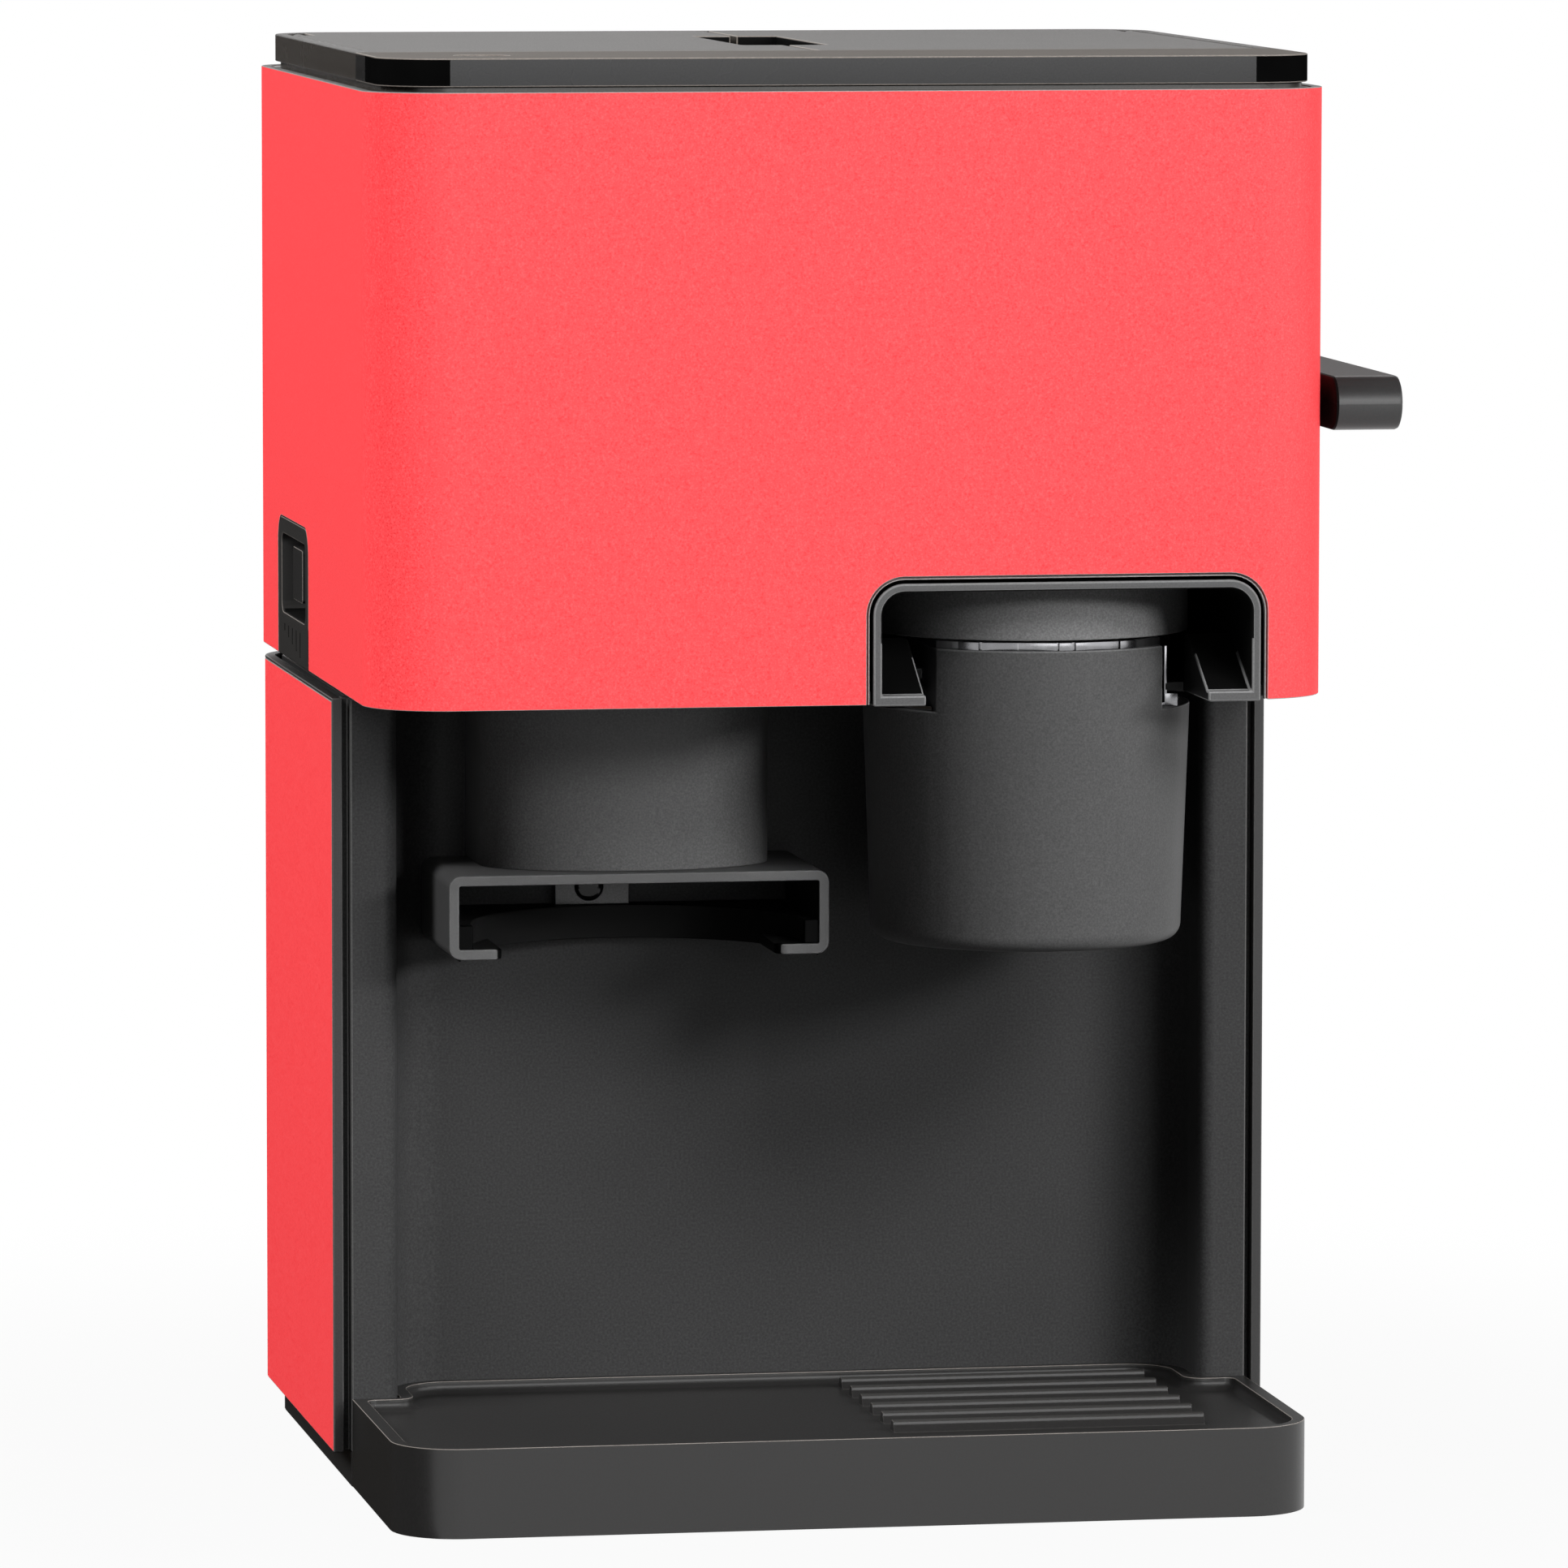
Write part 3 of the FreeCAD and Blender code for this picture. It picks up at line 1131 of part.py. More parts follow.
def make_tray():
    tray = slab(tray_plan(0, 0, 0, tray_corner, 1.0), tray_under, tray_top)
    cavity = slab(tray_plan(tray_side_rim, tray_front_rim, tray_front_rim, tray_corner - tray_side_rim,
                            5.0),
                  tray_floor, tray_top + 3 * tray_fillet)
    cavity = round_edges(cavity, tray_fillet, lambda edge: edge.BoundBox.ZMax < tray_floor + 1e-3)
    tray = tray.cut(cavity)
    skirt_y = (front - tray_overhang, back(column_front) - fit)
    skirt = slab(rect((-column_half_span, column_half_span), skirt_y, (tray_corner, tray_corner, 0, 0)),
                 tray_lift,
                 tray_under)
    hollow_corner = tray_corner - tray_skirt
    hollow_x = (-column_half_span + tray_skirt, column_half_span - tray_skirt)
    hollow = slab(rect(hollow_x, (skirt_y[0] + tray_skirt, skirt_y[1] + 1),
                       (hollow_corner, hollow_corner, 0, 0)),
                  tray_lift - 1, tray_under + 1)
    tray = tray.fuse(skirt.cut(hollow))
    ribs = []
    top = tray_floor + rib_height
    for index in range(rib_count):
        y = back(rib_first + index * rib_pitch)
        low = tray_floor - tray_plate / 2
        wide = rib_half_width + rib_foot
        knee = tray_floor + rib_foot
        profile = [(y - wide, low, 0), (y - wide, tray_floor, 0),
                   (y - rib_half_width - 0.2, knee, rib_foot / 2),
                   (y - rib_half_width, top, 0.5), (y + rib_half_width, top, 0.5),
                   (y + rib_half_width + 0.2, knee, rib_foot / 2), (y + wide, tray_floor, 0),
                   (y + wide, low, 0)]
        ribs.append(side_slab(profile, dock_x - rib_half_length, dock_x + rib_half_length))
    parts["drip_tray"] = tray.fuse(ribs).removeSplitter()


def make_water():
    top = deck_bottom
    x = (funnel_top_left, funnel_top_right)
    y = (back(funnel_top_front), back(funnel_top_back))
    mouth = spout_radius + thin_wall
    low_x = (spout_x - mouth, spout_x + mouth)
    low_y = (back(spout_back) - mouth, back(spout_back) + mouth)
    lip = top - funnel_lip
    outer = box(x, y, (lip, top)).fuse(frustum(low_x, low_y, funnel_bottom, x, y, lip))

    def shrink(pair):
        return (pair[0] + thin_wall, pair[1] - thin_wall)

    inner = box(shrink(x), shrink(y), (lip, top + 1))
    inner = inner.fuse(frustum(shrink(low_x), shrink(low_y), funnel_bottom + thin_wall, shrink(x),
                               shrink(y), lip))
    spout = upright(spout_radius, spout_x, back(spout_back), spout_foot, funnel_bottom + thin_wall / 2)
    bore = upright(spout_radius - thin_wall, spout_x, back(spout_back), spout_foot - thin_wall,
                   funnel_bottom + 2 * thin_wall)
    parts["filler_funnel"] = outer.cut(inner).fuse(spout).cut(bore).removeSplitter()

    y = back(pump_back)
    pump = rod(pump_radius, V(pump_left, y, pump_z), V(pump_right, y, pump_z))
    pump = pump.fuse(rod(hose_radius, V(pump_left - nozzle_length, y, pump_z),
                         V(pump_right + nozzle_length, y, pump_z)))
    saddle_x = (pump_left + pump_radius, pump_right - pump_radius)
    pump = pump.fuse(box(saddle_x, (y - pump_radius / 2, y + pump_radius / 2), (floor_top, pump_z)))
    parts["pump"] = pump.removeSplitter()

    block_y = (back(block_front), back(block_back))
    block = box((block_left, block_right), block_y, (block_bottom, block_top))
    for x in (block_left + block_foot, block_right - 2 * block_foot):
        block = block.fuse(box((x, x + block_foot), block_y, (floor_top, block_bottom)))
    parts["thermoblock"] = block.removeSplitter()

    suction_end = V(pump_left - nozzle_length, y, pump_z)
    parts["suction_hose"] = hose([V(suction_x, y, suction_foot), V(suction_x, y, pump_z), suction_end],
                                 suction_bend)
    pressure_start = V(pump_right + nozzle_length, y, pump_z)
    parts["pressure_hose"] = hose([pressure_start, V(pressure_x, y, pump_z),
                                   V(pressure_x, block_y[1], pump_z)],
                                  pressure_bend)
    pipe_start = V(dock_x, block_y[0], brew_pipe_z)
    pipe_end = V(dock_x, back(cup_back + brew_neck_radius), brew_pipe_z)
    neck = upright(brew_neck_radius, dock_x, back(cup_back), brew_pipe_z - 2 * hose_radius,
                   brew_pipe_z + 2 * hose_radius)
    start = V(dock_x, back(cup_back), brew_pipe_z)
    pipe = rod(hose_radius, pipe_start, start).cut(neck)
    parts["brew_pipe"] = pipe.cut(rod(hose_bore, pipe_start, pipe_end))


make_head()
make_top()
make_slider()
make_brew_dock()
make_brew_head()
make_drive()
make_cup()
make_grinder_station()
make_hopper()
make_body()
make_tray()
make_water()

os.makedirs("parts", exist_ok=True)
for name, shape in parts.items():
    solids = shape.Solids
    print(name, len(solids), "solids", round(shape.Volume / 1000, 2), "cm3", shape.isValid())
    shape.exportStep("parts/" + name + ".step")
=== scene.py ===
import bpy
import bmesh
import json
import math
from mathutils import Matrix, Vector
from mathutils.bvhtree import BVHTree


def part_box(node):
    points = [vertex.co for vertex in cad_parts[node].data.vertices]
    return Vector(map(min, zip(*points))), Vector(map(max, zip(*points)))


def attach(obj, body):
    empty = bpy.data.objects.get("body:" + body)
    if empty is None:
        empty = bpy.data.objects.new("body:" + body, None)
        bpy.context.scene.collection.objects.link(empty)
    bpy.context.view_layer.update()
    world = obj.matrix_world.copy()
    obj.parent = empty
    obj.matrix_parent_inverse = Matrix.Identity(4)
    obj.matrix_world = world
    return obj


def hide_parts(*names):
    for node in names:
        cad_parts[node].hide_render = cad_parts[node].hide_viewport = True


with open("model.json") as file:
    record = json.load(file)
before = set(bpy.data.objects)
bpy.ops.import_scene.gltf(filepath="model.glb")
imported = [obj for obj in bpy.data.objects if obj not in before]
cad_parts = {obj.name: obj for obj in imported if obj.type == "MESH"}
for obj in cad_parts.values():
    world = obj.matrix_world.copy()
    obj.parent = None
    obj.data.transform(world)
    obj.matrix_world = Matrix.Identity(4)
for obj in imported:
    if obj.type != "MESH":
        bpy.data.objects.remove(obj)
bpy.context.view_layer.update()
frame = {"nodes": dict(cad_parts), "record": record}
cadNodes = frame["nodes"]
scene = bpy.context.scene
mm = 0.001
headFront = -112 * mm  # the head's front face; depths below are measured back from it
cupAxis = (52.7 * mm, headFront + 52 * mm)
print("frame:", len(cadNodes), "nodes")


class Wire:
    # one output socket of a finish, with the operators that the finishes use
    def __init__(self, finish, socket):
        self.finish = finish
        self.socket = socket

    def maths(self, operation, left, right):
        return self.finish.add("ShaderNodeMath", {"operation": operation}, {0: left, 1: right})

    def __add__(self, other):
        return self.maths("ADD", self, other)

    def __sub__(self, other):
        return self.maths("SUBTRACT", self, other)

    def __mul__(self, other):
        return self.maths("MULTIPLY", self, other)

    def __gt__(self, other):
        return self.maths("GREATER_THAN", self, other)

    def __lt__(self, other):
        return self.maths("LESS_THAN", self, other)

    def __abs__(self):
        return self.maths("ABSOLUTE", self, 0.0)

    def most(self, other):
        return self.maths("MAXIMUM", self, other)


class Finish:
    # a procedural material: one principled shader or a mix of them, and any node through add()
    def __init__(self, name):
        self.material = bpy.data.materials.new(name)
        self.material.use_nodes = True
        self.tree = self.material.node_tree
        self.tree.nodes.clear()
        self.place = self.add("ShaderNodeTexCoord", {}, {}, "Object")

    def add(self, kind, settings, sockets, output=0):
        node = self.tree.nodes.new(kind)
        for key, value in settings.items():
            if key == "stops":
                ramp = node.color_ramp.elements
                while len(ramp) < len(value):
                    ramp.new(0.5)
                for element, (position, colour) in zip(ramp, value):
                    element.position = position
                    element.color = colour
            else:
                setattr(node, key, value)
        for key, value in sockets.items():
            if isinstance(value, Wire):
                self.tree.links.new(value.socket, node.inputs[key])
            else:
                node.inputs[key].default_value = value
        return Wire(self, node.outputs[output])

    def noise(self, size, detail=2.0, rough=0.5):
        # even grain whose lumps are about this many millimetres across
        return self.add("ShaderNodeTexNoise", {"noise_dimensions": "3D"},
                        {"Vector": self.place, "Scale": 1 / (size * mm), "Detail": detail,
                         "Roughness": rough}, "Fac")

    def pits(self, size=0.5):
        # the fine spark-eroded texture of a mould
        return self.noise(size, 2.0, 0.6)

    def ramp(self, value, stops):
        return self.add("ShaderNodeValToRGB", {"stops": stops}, {"Fac": value}, "Color")

    def blend(self, factor, first, second, way="MIX"):
        return self.add("ShaderNodeMix", {"data_type": "RGBA", "blend_type": way},
                        {0: factor, 6: first, 7: second}, 2)

    def range(self, value, low, high):
        return self.add("ShaderNodeMapRange", {}, {"Value": value, 3: low, 4: high})

    def axis(self, name):
        return self.add("ShaderNodeSeparateXYZ", {}, {0: self.place}, name)

    def bump(self, height, depth, strength):
        return self.add("ShaderNodeBump", {},
                        {"Height": height, "Distance": depth * mm, "Strength": strength})

    def surface(self, sockets):
        return self.add("ShaderNodeBsdfPrincipled", {}, sockets)

    def pitted(self, pits, tones, rough, specular=0.5, depth=0.02, strength=0.4):
        # a moulded surface: two tones as (position, colour) stops and a range of roughness
        return self.surface({"Base Color": self.ramp(pits, tones), "Roughness": self.range(pits, *rough),
                             "Normal": self.bump(pits, depth, strength), "Specular IOR Level": specular})

    def shadowed(self, grain, levels, rough, specular):
        # a near black surface between two grey levels, for the deep places that little light reaches
        low, high = levels
        return self.surface({"Base Color": self.ramp(grain, [(0.3, grey(low)), (0.7, grey(high))]),
                             "Roughness": self.range(grain, *rough), "Specular IOR Level": specular})

    def shade(self, sockets):
        return self.close(self.surface(sockets))

    def either(self, factor, first, second):
        return self.add("ShaderNodeMixShader", {}, {0: factor, 1: first, 2: second})

    def close(self, shader):
        output = self.tree.nodes.new("ShaderNodeOutputMaterial")
        self.tree.links.new(shader.socket, output.inputs["Surface"])
        return self.material


def rgb(red, green, blue):
    return (red, green, blue, 1.0)


def grey(level):
    return rgb(level, level, level)


def scaled(colour, factor):
    # the same hue, lighter or darker
    return rgb(*(min(1.0, factor * part) for part in colour[:3]))


def redCoatFinish():
    # satin powder coat: fine pale threads and darker specks in the red, bare metal along the top cut edge
    light, base, dark = rgb(0.98, 0.105, 0.115), rgb(0.94, 0.060, 0.068), rgb(0.86, 0.032, 0.042)
    coat = {"grain": 0.55, "curl": 0.77, "cloud": 9.0, "rough": (0.52, 0.62), "cloudBlend": (0.0, 0.25),
            "specks": [(0.30, dark), (0.44, base), (0.58, base), (0.74, light)],
            "thread": 0.030, "threadStrength": 0.55, "depth": 0.03, "strength": 0.25,
            "topEdge": 353.88 * mm, "bare": grey(0.5), "bareMetal": 0.9}
    finish = Finish("redCoat")
    grain = finish.noise(coat["grain"], 1.0, 0.4)
    curl = finish.noise(coat["curl"], 1.0, 0.4)
    cloud = finish.noise(coat["cloud"], 3.0)
    thread = abs(curl - 0.5) < coat["thread"]
    speck = finish.ramp(grain, coat["specks"])
    tone = finish.blend(finish.range(cloud, *coat["cloudBlend"]), speck, base)
    tone = finish.blend(thread * coat["threadStrength"], tone, light)
    bare = finish.axis("Z") > coat["topEdge"]
    return finish.shade({"Base Color": finish.blend(bare, tone, coat["bare"]),
                         "Roughness": finish.range(grain, *coat["rough"]),
                         "Metallic": bare * coat["bareMetal"],
                         "Normal": finish.bump(grain, coat["depth"], coat["strength"])})


def mouldedFinish(name, colour, grain=0.5, rough=0.5, depth=0.02, specular=0.5):
    # moulded plastic with a fine spark-eroded texture over faint broad clouds
    moulded = {"cloud": 14.0, "pitShare": 0.92, "cloudShare": 0.08, "low": 0.75, "high": 1.3,
               "smoother": 0.06, "rougher": 0.08, "strength": 0.4}
    finish = Finish(name)
    pits = finish.pits(grain)
    broad = finish.noise(moulded["cloud"], 2.0)
    tone = finish.ramp(pits * moulded["pitShare"] + broad * moulded["cloudShare"],
                       [(0.30, scaled(colour, moulded["low"])), (0.5, colour),
                        (0.70, scaled(colour, moulded["high"]))])
    roughness = finish.range(pits, rough - moulded["smoother"], rough + moulded["rougher"])
    return finish.shade({"Base Color": tone, "Roughness": roughness, "Specular IOR Level": specular,
                         "Normal": finish.bump(pits, depth, moulded["strength"])})


def metalFinish(name, colour, rough, brushed=0.0):
    # plain metal, or brushed along its height by the stretch given
    metal = {"streaks": 900.0, "streakDetail": 3.0, "cloud": 3.0, "dim": 0.85, "smoother": 0.8,
             "rougher": 1.3}
    finish = Finish(name)
    if brushed:
        stretched = finish.add("ShaderNodeMapping", {},
                               {"Vector": finish.place, "Scale": (1.0, 1.0, brushed)})
        streak = finish.add("ShaderNodeTexNoise", {}, {
            "Vector": stretched, "Scale": metal["streaks"], "Detail": metal["streakDetail"]}, "Fac")
    else:
        streak = finish.noise(metal["cloud"], 2.0)
    tone = finish.ramp(streak, [(0.3, scaled(colour, metal["dim"])), (0.7, colour)])
    roughness = finish.range(streak, rough * metal["smoother"], rough * metal["rougher"])
    return finish.shade({"Base Color": tone, "Metallic": 1.0, "Roughness": roughness})


def topFinish(name, topTone, sideTone, cornerFrom=None, recessHalf=None):
    # the lids and the control strip: a speckled matt top and satin sides; where asked, smooth corners painted
    # near black from a distance off the middle as a painted dark reflection, or a finger recess painted black
    # as painted shade, of a half width round the lids' split
    top = {"level": 361.85 * mm, "topRough": (0.50, 0.64), "topGloss": 0.32, "depth": 0.03, "strength": 0.3,
           "sideRough": (0.24, 0.30), "sideGloss": 0.38, "sideLow": 0.8, "speck": 0.45, "cloud": 18.0,
           "speckShare": 0.96, "cloudShare": 0.04, "dim": 0.6, "bright": 1.5, "paintedDarkTones": (0.002, 0.003),
           "split": -0.6 * mm, "recess": (headFront + 90 * mm, headFront + 175 * mm),
           "recessRough": (0.4, 0.5), "recessGloss": 0.05,
           "cornerBack": headFront + 37 * mm, "cornerRough": (0.10, 0.14), "cornerGloss": 0.0}
    finish = Finish(name)
    speck = finish.pits(top["speck"])
    cloud = finish.noise(top["cloud"], 2.0)
    tone = finish.ramp(speck * top["speckShare"] + cloud * top["cloudShare"],
                       [(0.34, scaled(topTone, top["dim"])), (0.5, topTone),
                        (0.66, scaled(topTone, top["bright"]))])
    topShade = finish.surface({"Base Color": tone, "Roughness": finish.range(speck, *top["topRough"]),
                               "Specular IOR Level": top["topGloss"],
                               "Normal": finish.bump(speck, top["depth"], top["strength"])})
    tone = finish.ramp(speck, [(0.4, scaled(sideTone, top["sideLow"])), (0.6, sideTone)])
    sideShade = finish.surface({"Base Color": tone, "Roughness": finish.range(cloud, *top["sideRough"]),
                                "Specular IOR Level": top["sideGloss"]})
    across, depth = finish.axis("X"), finish.axis("Y")
    if recessHalf:
        near, far = top["recess"]
        # painted shade: the finger recess is painted near black
        recess = (abs(across - top["split"]) < recessHalf * mm) * (depth > near) * (depth < far)
        paintedRecessShade = finish.shadowed(cloud, top["paintedDarkTones"], top["recessRough"], top["recessGloss"])
        sideShade = finish.either(recess, sideShade, paintedRecessShade)
    if cornerFrom:
        # painted dark reflection: the strip's corners are painted near black
        corner = (abs(across) > cornerFrom * mm) * (depth < top["cornerBack"])
        paintedCornerReflection = finish.shadowed(cloud, top["paintedDarkTones"], top["cornerRough"], top["cornerGloss"])
        sideShade = finish.either(corner, sideShade, paintedCornerReflection)
    return finish.close(finish.either(finish.axis("Z") > top["level"], sideShade, topShade))


def dockFinish(name, tone, roofOnly, reach):
    # grey moulding of the brew dock: the front band is light, and its inner rim and the channels behind are
    # painted black as painted shade; roofOnly keeps the ramps' edges light, and reach is how far back the
    # light tone goes
    dock = {"middle": cupAxis[0], "half": 46.9 * mm, "roof": 231.3 * mm, "lip": 206.4 * mm,
            "ramp": 218.5 * mm, "bend": 6.2 * mm, "low": 0.8, "rough": (0.42, 0.52), "gloss": 0.4,
            "strength": 0.3, "paintedDarkTones": (0.002, 0.003), "paintedDarkGloss": 0.12}
    finish = Finish(name)
    pits = finish.pits()
    height, bend = finish.axis("Z"), dock["bend"]
    # how far a point lies beyond the straight runs of the rounded inner rim, sideways and upwards
    aside = (abs(finish.axis("X") - dock["middle"]) - (dock["half"] - bend)).most(0.0)
    above = (height - (dock["roof"] - bend)).most(0.0)
    inner = (aside * aside + above * above < bend ** 2) * (height > dock["ramp" if roofOnly else "lip"])
    # painted shade: the inner rim and everything behind the reach are near black
    deep = inner.most(finish.axis("Y") > headFront + reach * mm)
    outer = finish.pitted(pits, [(0.35, scaled(tone, dock["low"])), (0.6, tone)], dock["rough"],
                          dock["gloss"], strength=dock["strength"])
    paintedShadeInside = finish.shadowed(pits, dock["paintedDarkTones"], dock["rough"], dock["paintedDarkGloss"])
    return finish.close(finish.either(deep, outer, paintedShadeInside))


def railFinish(name, tone):
    # the grinder's rail: grey outside, and painted shade in the channel that the cup slides into: near black,
    # darkest on the front of its stop
    rail = {"middle": -45.15 * mm, "half": 45.7 * mm, "front": headFront + 54.5 * mm, "roof": 154.5 * mm,
            "stop": headFront + 57.0 * mm, "paintedDarkTone": grey(0.007), "stopPaintedShadeTone": grey(0.0008), "low": 0.8,
            "rough": (0.42, 0.54), "paintedDarkRough": (0.4, 0.5), "paintedDarkGloss": 0.04}
    finish = Finish(name)
    pits = finish.pits()
    depth = finish.axis("Y")
    # painted shade: the channel's inside is near black
    inside = ((abs(finish.axis("X") - rail["middle"]) < rail["half"]) * (depth > rail["front"])
              * (finish.axis("Z") < rail["roof"]))
    outer = finish.pitted(pits, [(0.3, scaled(tone, rail["low"])), (0.7, tone)], rail["rough"])
    shadow = finish.blend(depth < rail["stop"], rail["paintedDarkTone"], rail["stopPaintedShadeTone"])
    deep = finish.surface({"Base Color": shadow, "Roughness": finish.range(pits, *rail["paintedDarkRough"]),
                           "Specular IOR Level": rail["paintedDarkGloss"]})
    return finish.close(finish.either(inside, outer, deep))


def pocketFinish(name, tone, low=None):
    # the grind setting's insert: dark moulded face, painted black as painted shade on the floor of its pocket
    # and, where a level is given, painted black as painted shade below that too
    pocket = {"face": -119.4 * mm, "floor": 215.2 * mm, "dull": 0.75, "rough": (0.36, 0.48),
              "paintedDarkTones": (0.003, 0.004), "paintedDarkRough": (0.4, 0.5), "paintedDarkGloss": 0.2}
    finish = Finish(name)
    pits = finish.pits()
    height = finish.axis("Z")
    # painted shade: the pocket's floor is near black
    floor = (finish.axis("X") > pocket["face"]) * (height < pocket["floor"])
    outer = finish.pitted(pits, [(0.3, scaled(tone, pocket["dull"])), (0.7, tone)], pocket["rough"])
    deep = finish.shadowed(pits, pocket["paintedDarkTones"], pocket["paintedDarkRough"], pocket["paintedDarkGloss"])
    if low:
        floor = floor.most(height < low * mm)
    return finish.close(finish.either(floor, outer, deep))


def trayFinish(name, tone, litRibTone, rimTone):
    # the drip tray: one tone for walls and floor, another, lighter, painted on the tops of the ribs as
    # painted light, and a third for the rim
    tray = {"ribs": 22.05 * mm, "rim": 22.42 * mm, "front": headFront - 5.2 * mm, "half": 106.0 * mm,
            "rough": (0.25, 0.39), "shade": (0.75, 1.25), "depth": 0.02, "strength": 0.4}
    finish = Finish(name)
    pits = finish.pits()
    height = finish.axis("Z")
    inside = (finish.axis("Y") > tray["front"]) * (abs(finish.axis("X")) < tray["half"])
    # painted light: the rib tops are lighter than the floor between them
    colour = finish.blend((height > tray["ribs"]) * inside, tone, litRibTone)
    colour = finish.blend(height > tray["rim"], colour, rimTone)
    colour = finish.blend(1.0, colour, finish.range(pits, *tray["shade"]), "MULTIPLY")
    return finish.shade({"Base Color": colour, "Roughness": finish.range(pits, *tray["rough"]),
                         "Normal": finish.bump(pits, tray["depth"], tray["strength"])})


def leverFinish():
    # satin black bar; the face towards the head is painted a duller, deeper black as painted shade
    bar = {"inner": 123.2 * mm, "tone": rgb(0.030, 0.030, 0.0302), "low": rgb(0.023, 0.023, 0.0232),
           "rough": (0.27, 0.35), "gloss": 0.6, "paintedDarkTones": (0.003, 0.004), "paintedDarkRough": (0.5, 0.6),
           "paintedDarkGloss": 0.05}
    finish = Finish("leverBlack")
    pits = finish.pits()
    outer = finish.pitted(pits, [(0.3, bar["low"]), (0.7, bar["tone"])], bar["rough"], bar["gloss"])
    deep = finish.shadowed(pits, bar["paintedDarkTones"], bar["paintedDarkRough"], bar["paintedDarkGloss"])
    # painted shade: the face towards the head is near black
    return finish.close(finish.either(finish.axis("X") < bar["inner"], outer, deep))


def clearFinish():
    # clear moulded plastic of the tank, kept cheap: a see-through sheen over a faint tint
    clear = {"haze": 25.0, "low": rgb(0.62, 0.68, 0.70), "high": rgb(0.74, 0.79, 0.80),
             "rough": (0.08, 0.16), "alpha": (0.28, 0.36)}
    finish = Finish("clearPlastic")
    haze = finish.noise(clear["haze"], 2.0)
    return finish.shade({"Base Color": finish.ramp(haze, [(0.3, clear["low"]), (0.7, clear["high"])]),
                         "Roughness": finish.range(haze, *clear["rough"]),
                         "Alpha": finish.range(haze, *clear["alpha"])})


trayTone = rgb(0.0175, 0.0170, 0.0168)
redCoat = redCoatFinish()
# a beige tone painted as a highlight line on the broken edges of the lids and the control strip
lidEdge = mouldedFinish("lidEdge", rgb(0.17, 0.15, 0.135), rough=0.4)
# a grey lighter than the black pieces, painted as a faint highlight line on their broken edges
darkEdge = mouldedFinish("darkEdge", rgb(0.07, 0.069, 0.068), rough=0.34)
# a light tone painted as a highlight line on the dock's broken edges, with painted shade inside its rim
dockEdge = dockFinish("dockEdge", rgb(0.17, 0.17, 0.171), roofOnly=True, reach=17.0)
# a pale tone painted as a highlight line on the grind slider's broken edges
paleEdge = mouldedFinish("paleEdge", rgb(0.20, 0.18, 0.165), rough=0.36)
# a pale grey on the red shell's broken edges and the dock trim: partly the bare cut edge, partly a painted
# highlight line
cutEdge = mouldedFinish("cutEdge", rgb(0.26, 0.24, 0.235), rough=0.42)
columnGrey = mouldedFinish("columnGrey", rgb(0.128, 0.128, 0.1285), specular=0.25)
brewGrey = mouldedFinish("brewGrey", rgb(0.195, 0.195, 0.196), specular=0.10)
leverBlack = leverFinish()
# a lighter grey painted as a highlight line on the broken edges of the brew cup and the sensor bracket
cupEdge = mouldedFinish("cupEdge", rgb(0.12, 0.12, 0.121), rough=0.42)
bracketGrey = mouldedFinish("bracketGrey", rgb(0.15, 0.15, 0.151))
railGrey = railFinish("railGrey", rgb(0.050, 0.050, 0.0504))
# a lighter grey painted as a highlight line on the rail's broken edges, with painted shade in its channel
railEdge = railFinish("railEdge", rgb(0.062, 0.062, 0.0625))
pocketBlack = pocketFinish("pocketBlack", rgb(0.029, 0.028, 0.0272))
# a pale tone painted as a highlight line on the insert's broken edges, with painted shade below a level
insertEdge = pocketFinish("insertEdge", rgb(0.20, 0.18, 0.165), low=213.6)
mattBlack = mouldedFinish("mattBlack", rgb(0.020, 0.0195, 0.0195), rough=0.40)
wallBlack = mouldedFinish("wallBlack", rgb(0.046, 0.046, 0.0465), grain=0.6, rough=0.44, specular=0.10)
trayBlack = trayFinish("trayBlack", trayTone, rgb(0.034, 0.033, 0.032), trayTone)
# light tones painted as highlight lines on the tray's broken edges, palest on the rim
trayEdge = trayFinish("trayEdge", rgb(0.030, 0.029, 0.028), rgb(0.075, 0.071, 0.067), rgb(0.20, 0.18, 0.165))
# the brew dock: its inner rim and all behind its front band painted black as painted shade
dockGrey = dockFinish("dockGrey", rgb(0.080, 0.080, 0.081), roofOnly=False, reach=0.62)
cupBlack = mouldedFinish("cupBlack", rgb(0.077, 0.077, 0.0775), rough=0.48, specular=0.22)
# the lids: painted shade in black inside the finger recess
lidBlack = topFinish("lidBlack", rgb(0.105, 0.102, 0.100), rgb(0.047, 0.042, 0.038), recessHalf=11.4)
# the control strip: its front corners painted near black as a painted dark reflection
stripGrey = topFinish("stripGrey", rgb(0.066, 0.058, 0.051), rgb(0.017, 0.017, 0.0175), cornerFrom=100.2)
glossBlack = mouldedFinish("glossBlack", grey(0.006), grain=0.8, rough=0.12, depth=0.002, specular=0.25)
midGrey = mouldedFinish("midGrey", rgb(0.10, 0.10, 0.105))
rubberBlack = mouldedFinish("rubberBlack", grey(0.02), grain=0.7, rough=0.75)
boardGreen = mouldedFinish("boardGreen", rgb(0.03, 0.16, 0.07), grain=1.0, rough=0.4)
hoseWhite = mouldedFinish("hoseWhite", rgb(0.62, 0.62, 0.60), grain=1.0, rough=0.45)
polishedSteel = metalFinish("polishedSteel", rgb(0.80, 0.80, 0.81), 0.12)
satinSteel = metalFinish("satinSteel", rgb(0.42, 0.42, 0.43), 0.32, brushed=0.03)
brightSteel = metalFinish("brightSteel", rgb(0.27, 0.27, 0.28), 0.26)
castAluminium = metalFinish("castAluminium", rgb(0.68, 0.68, 0.69), 0.45)
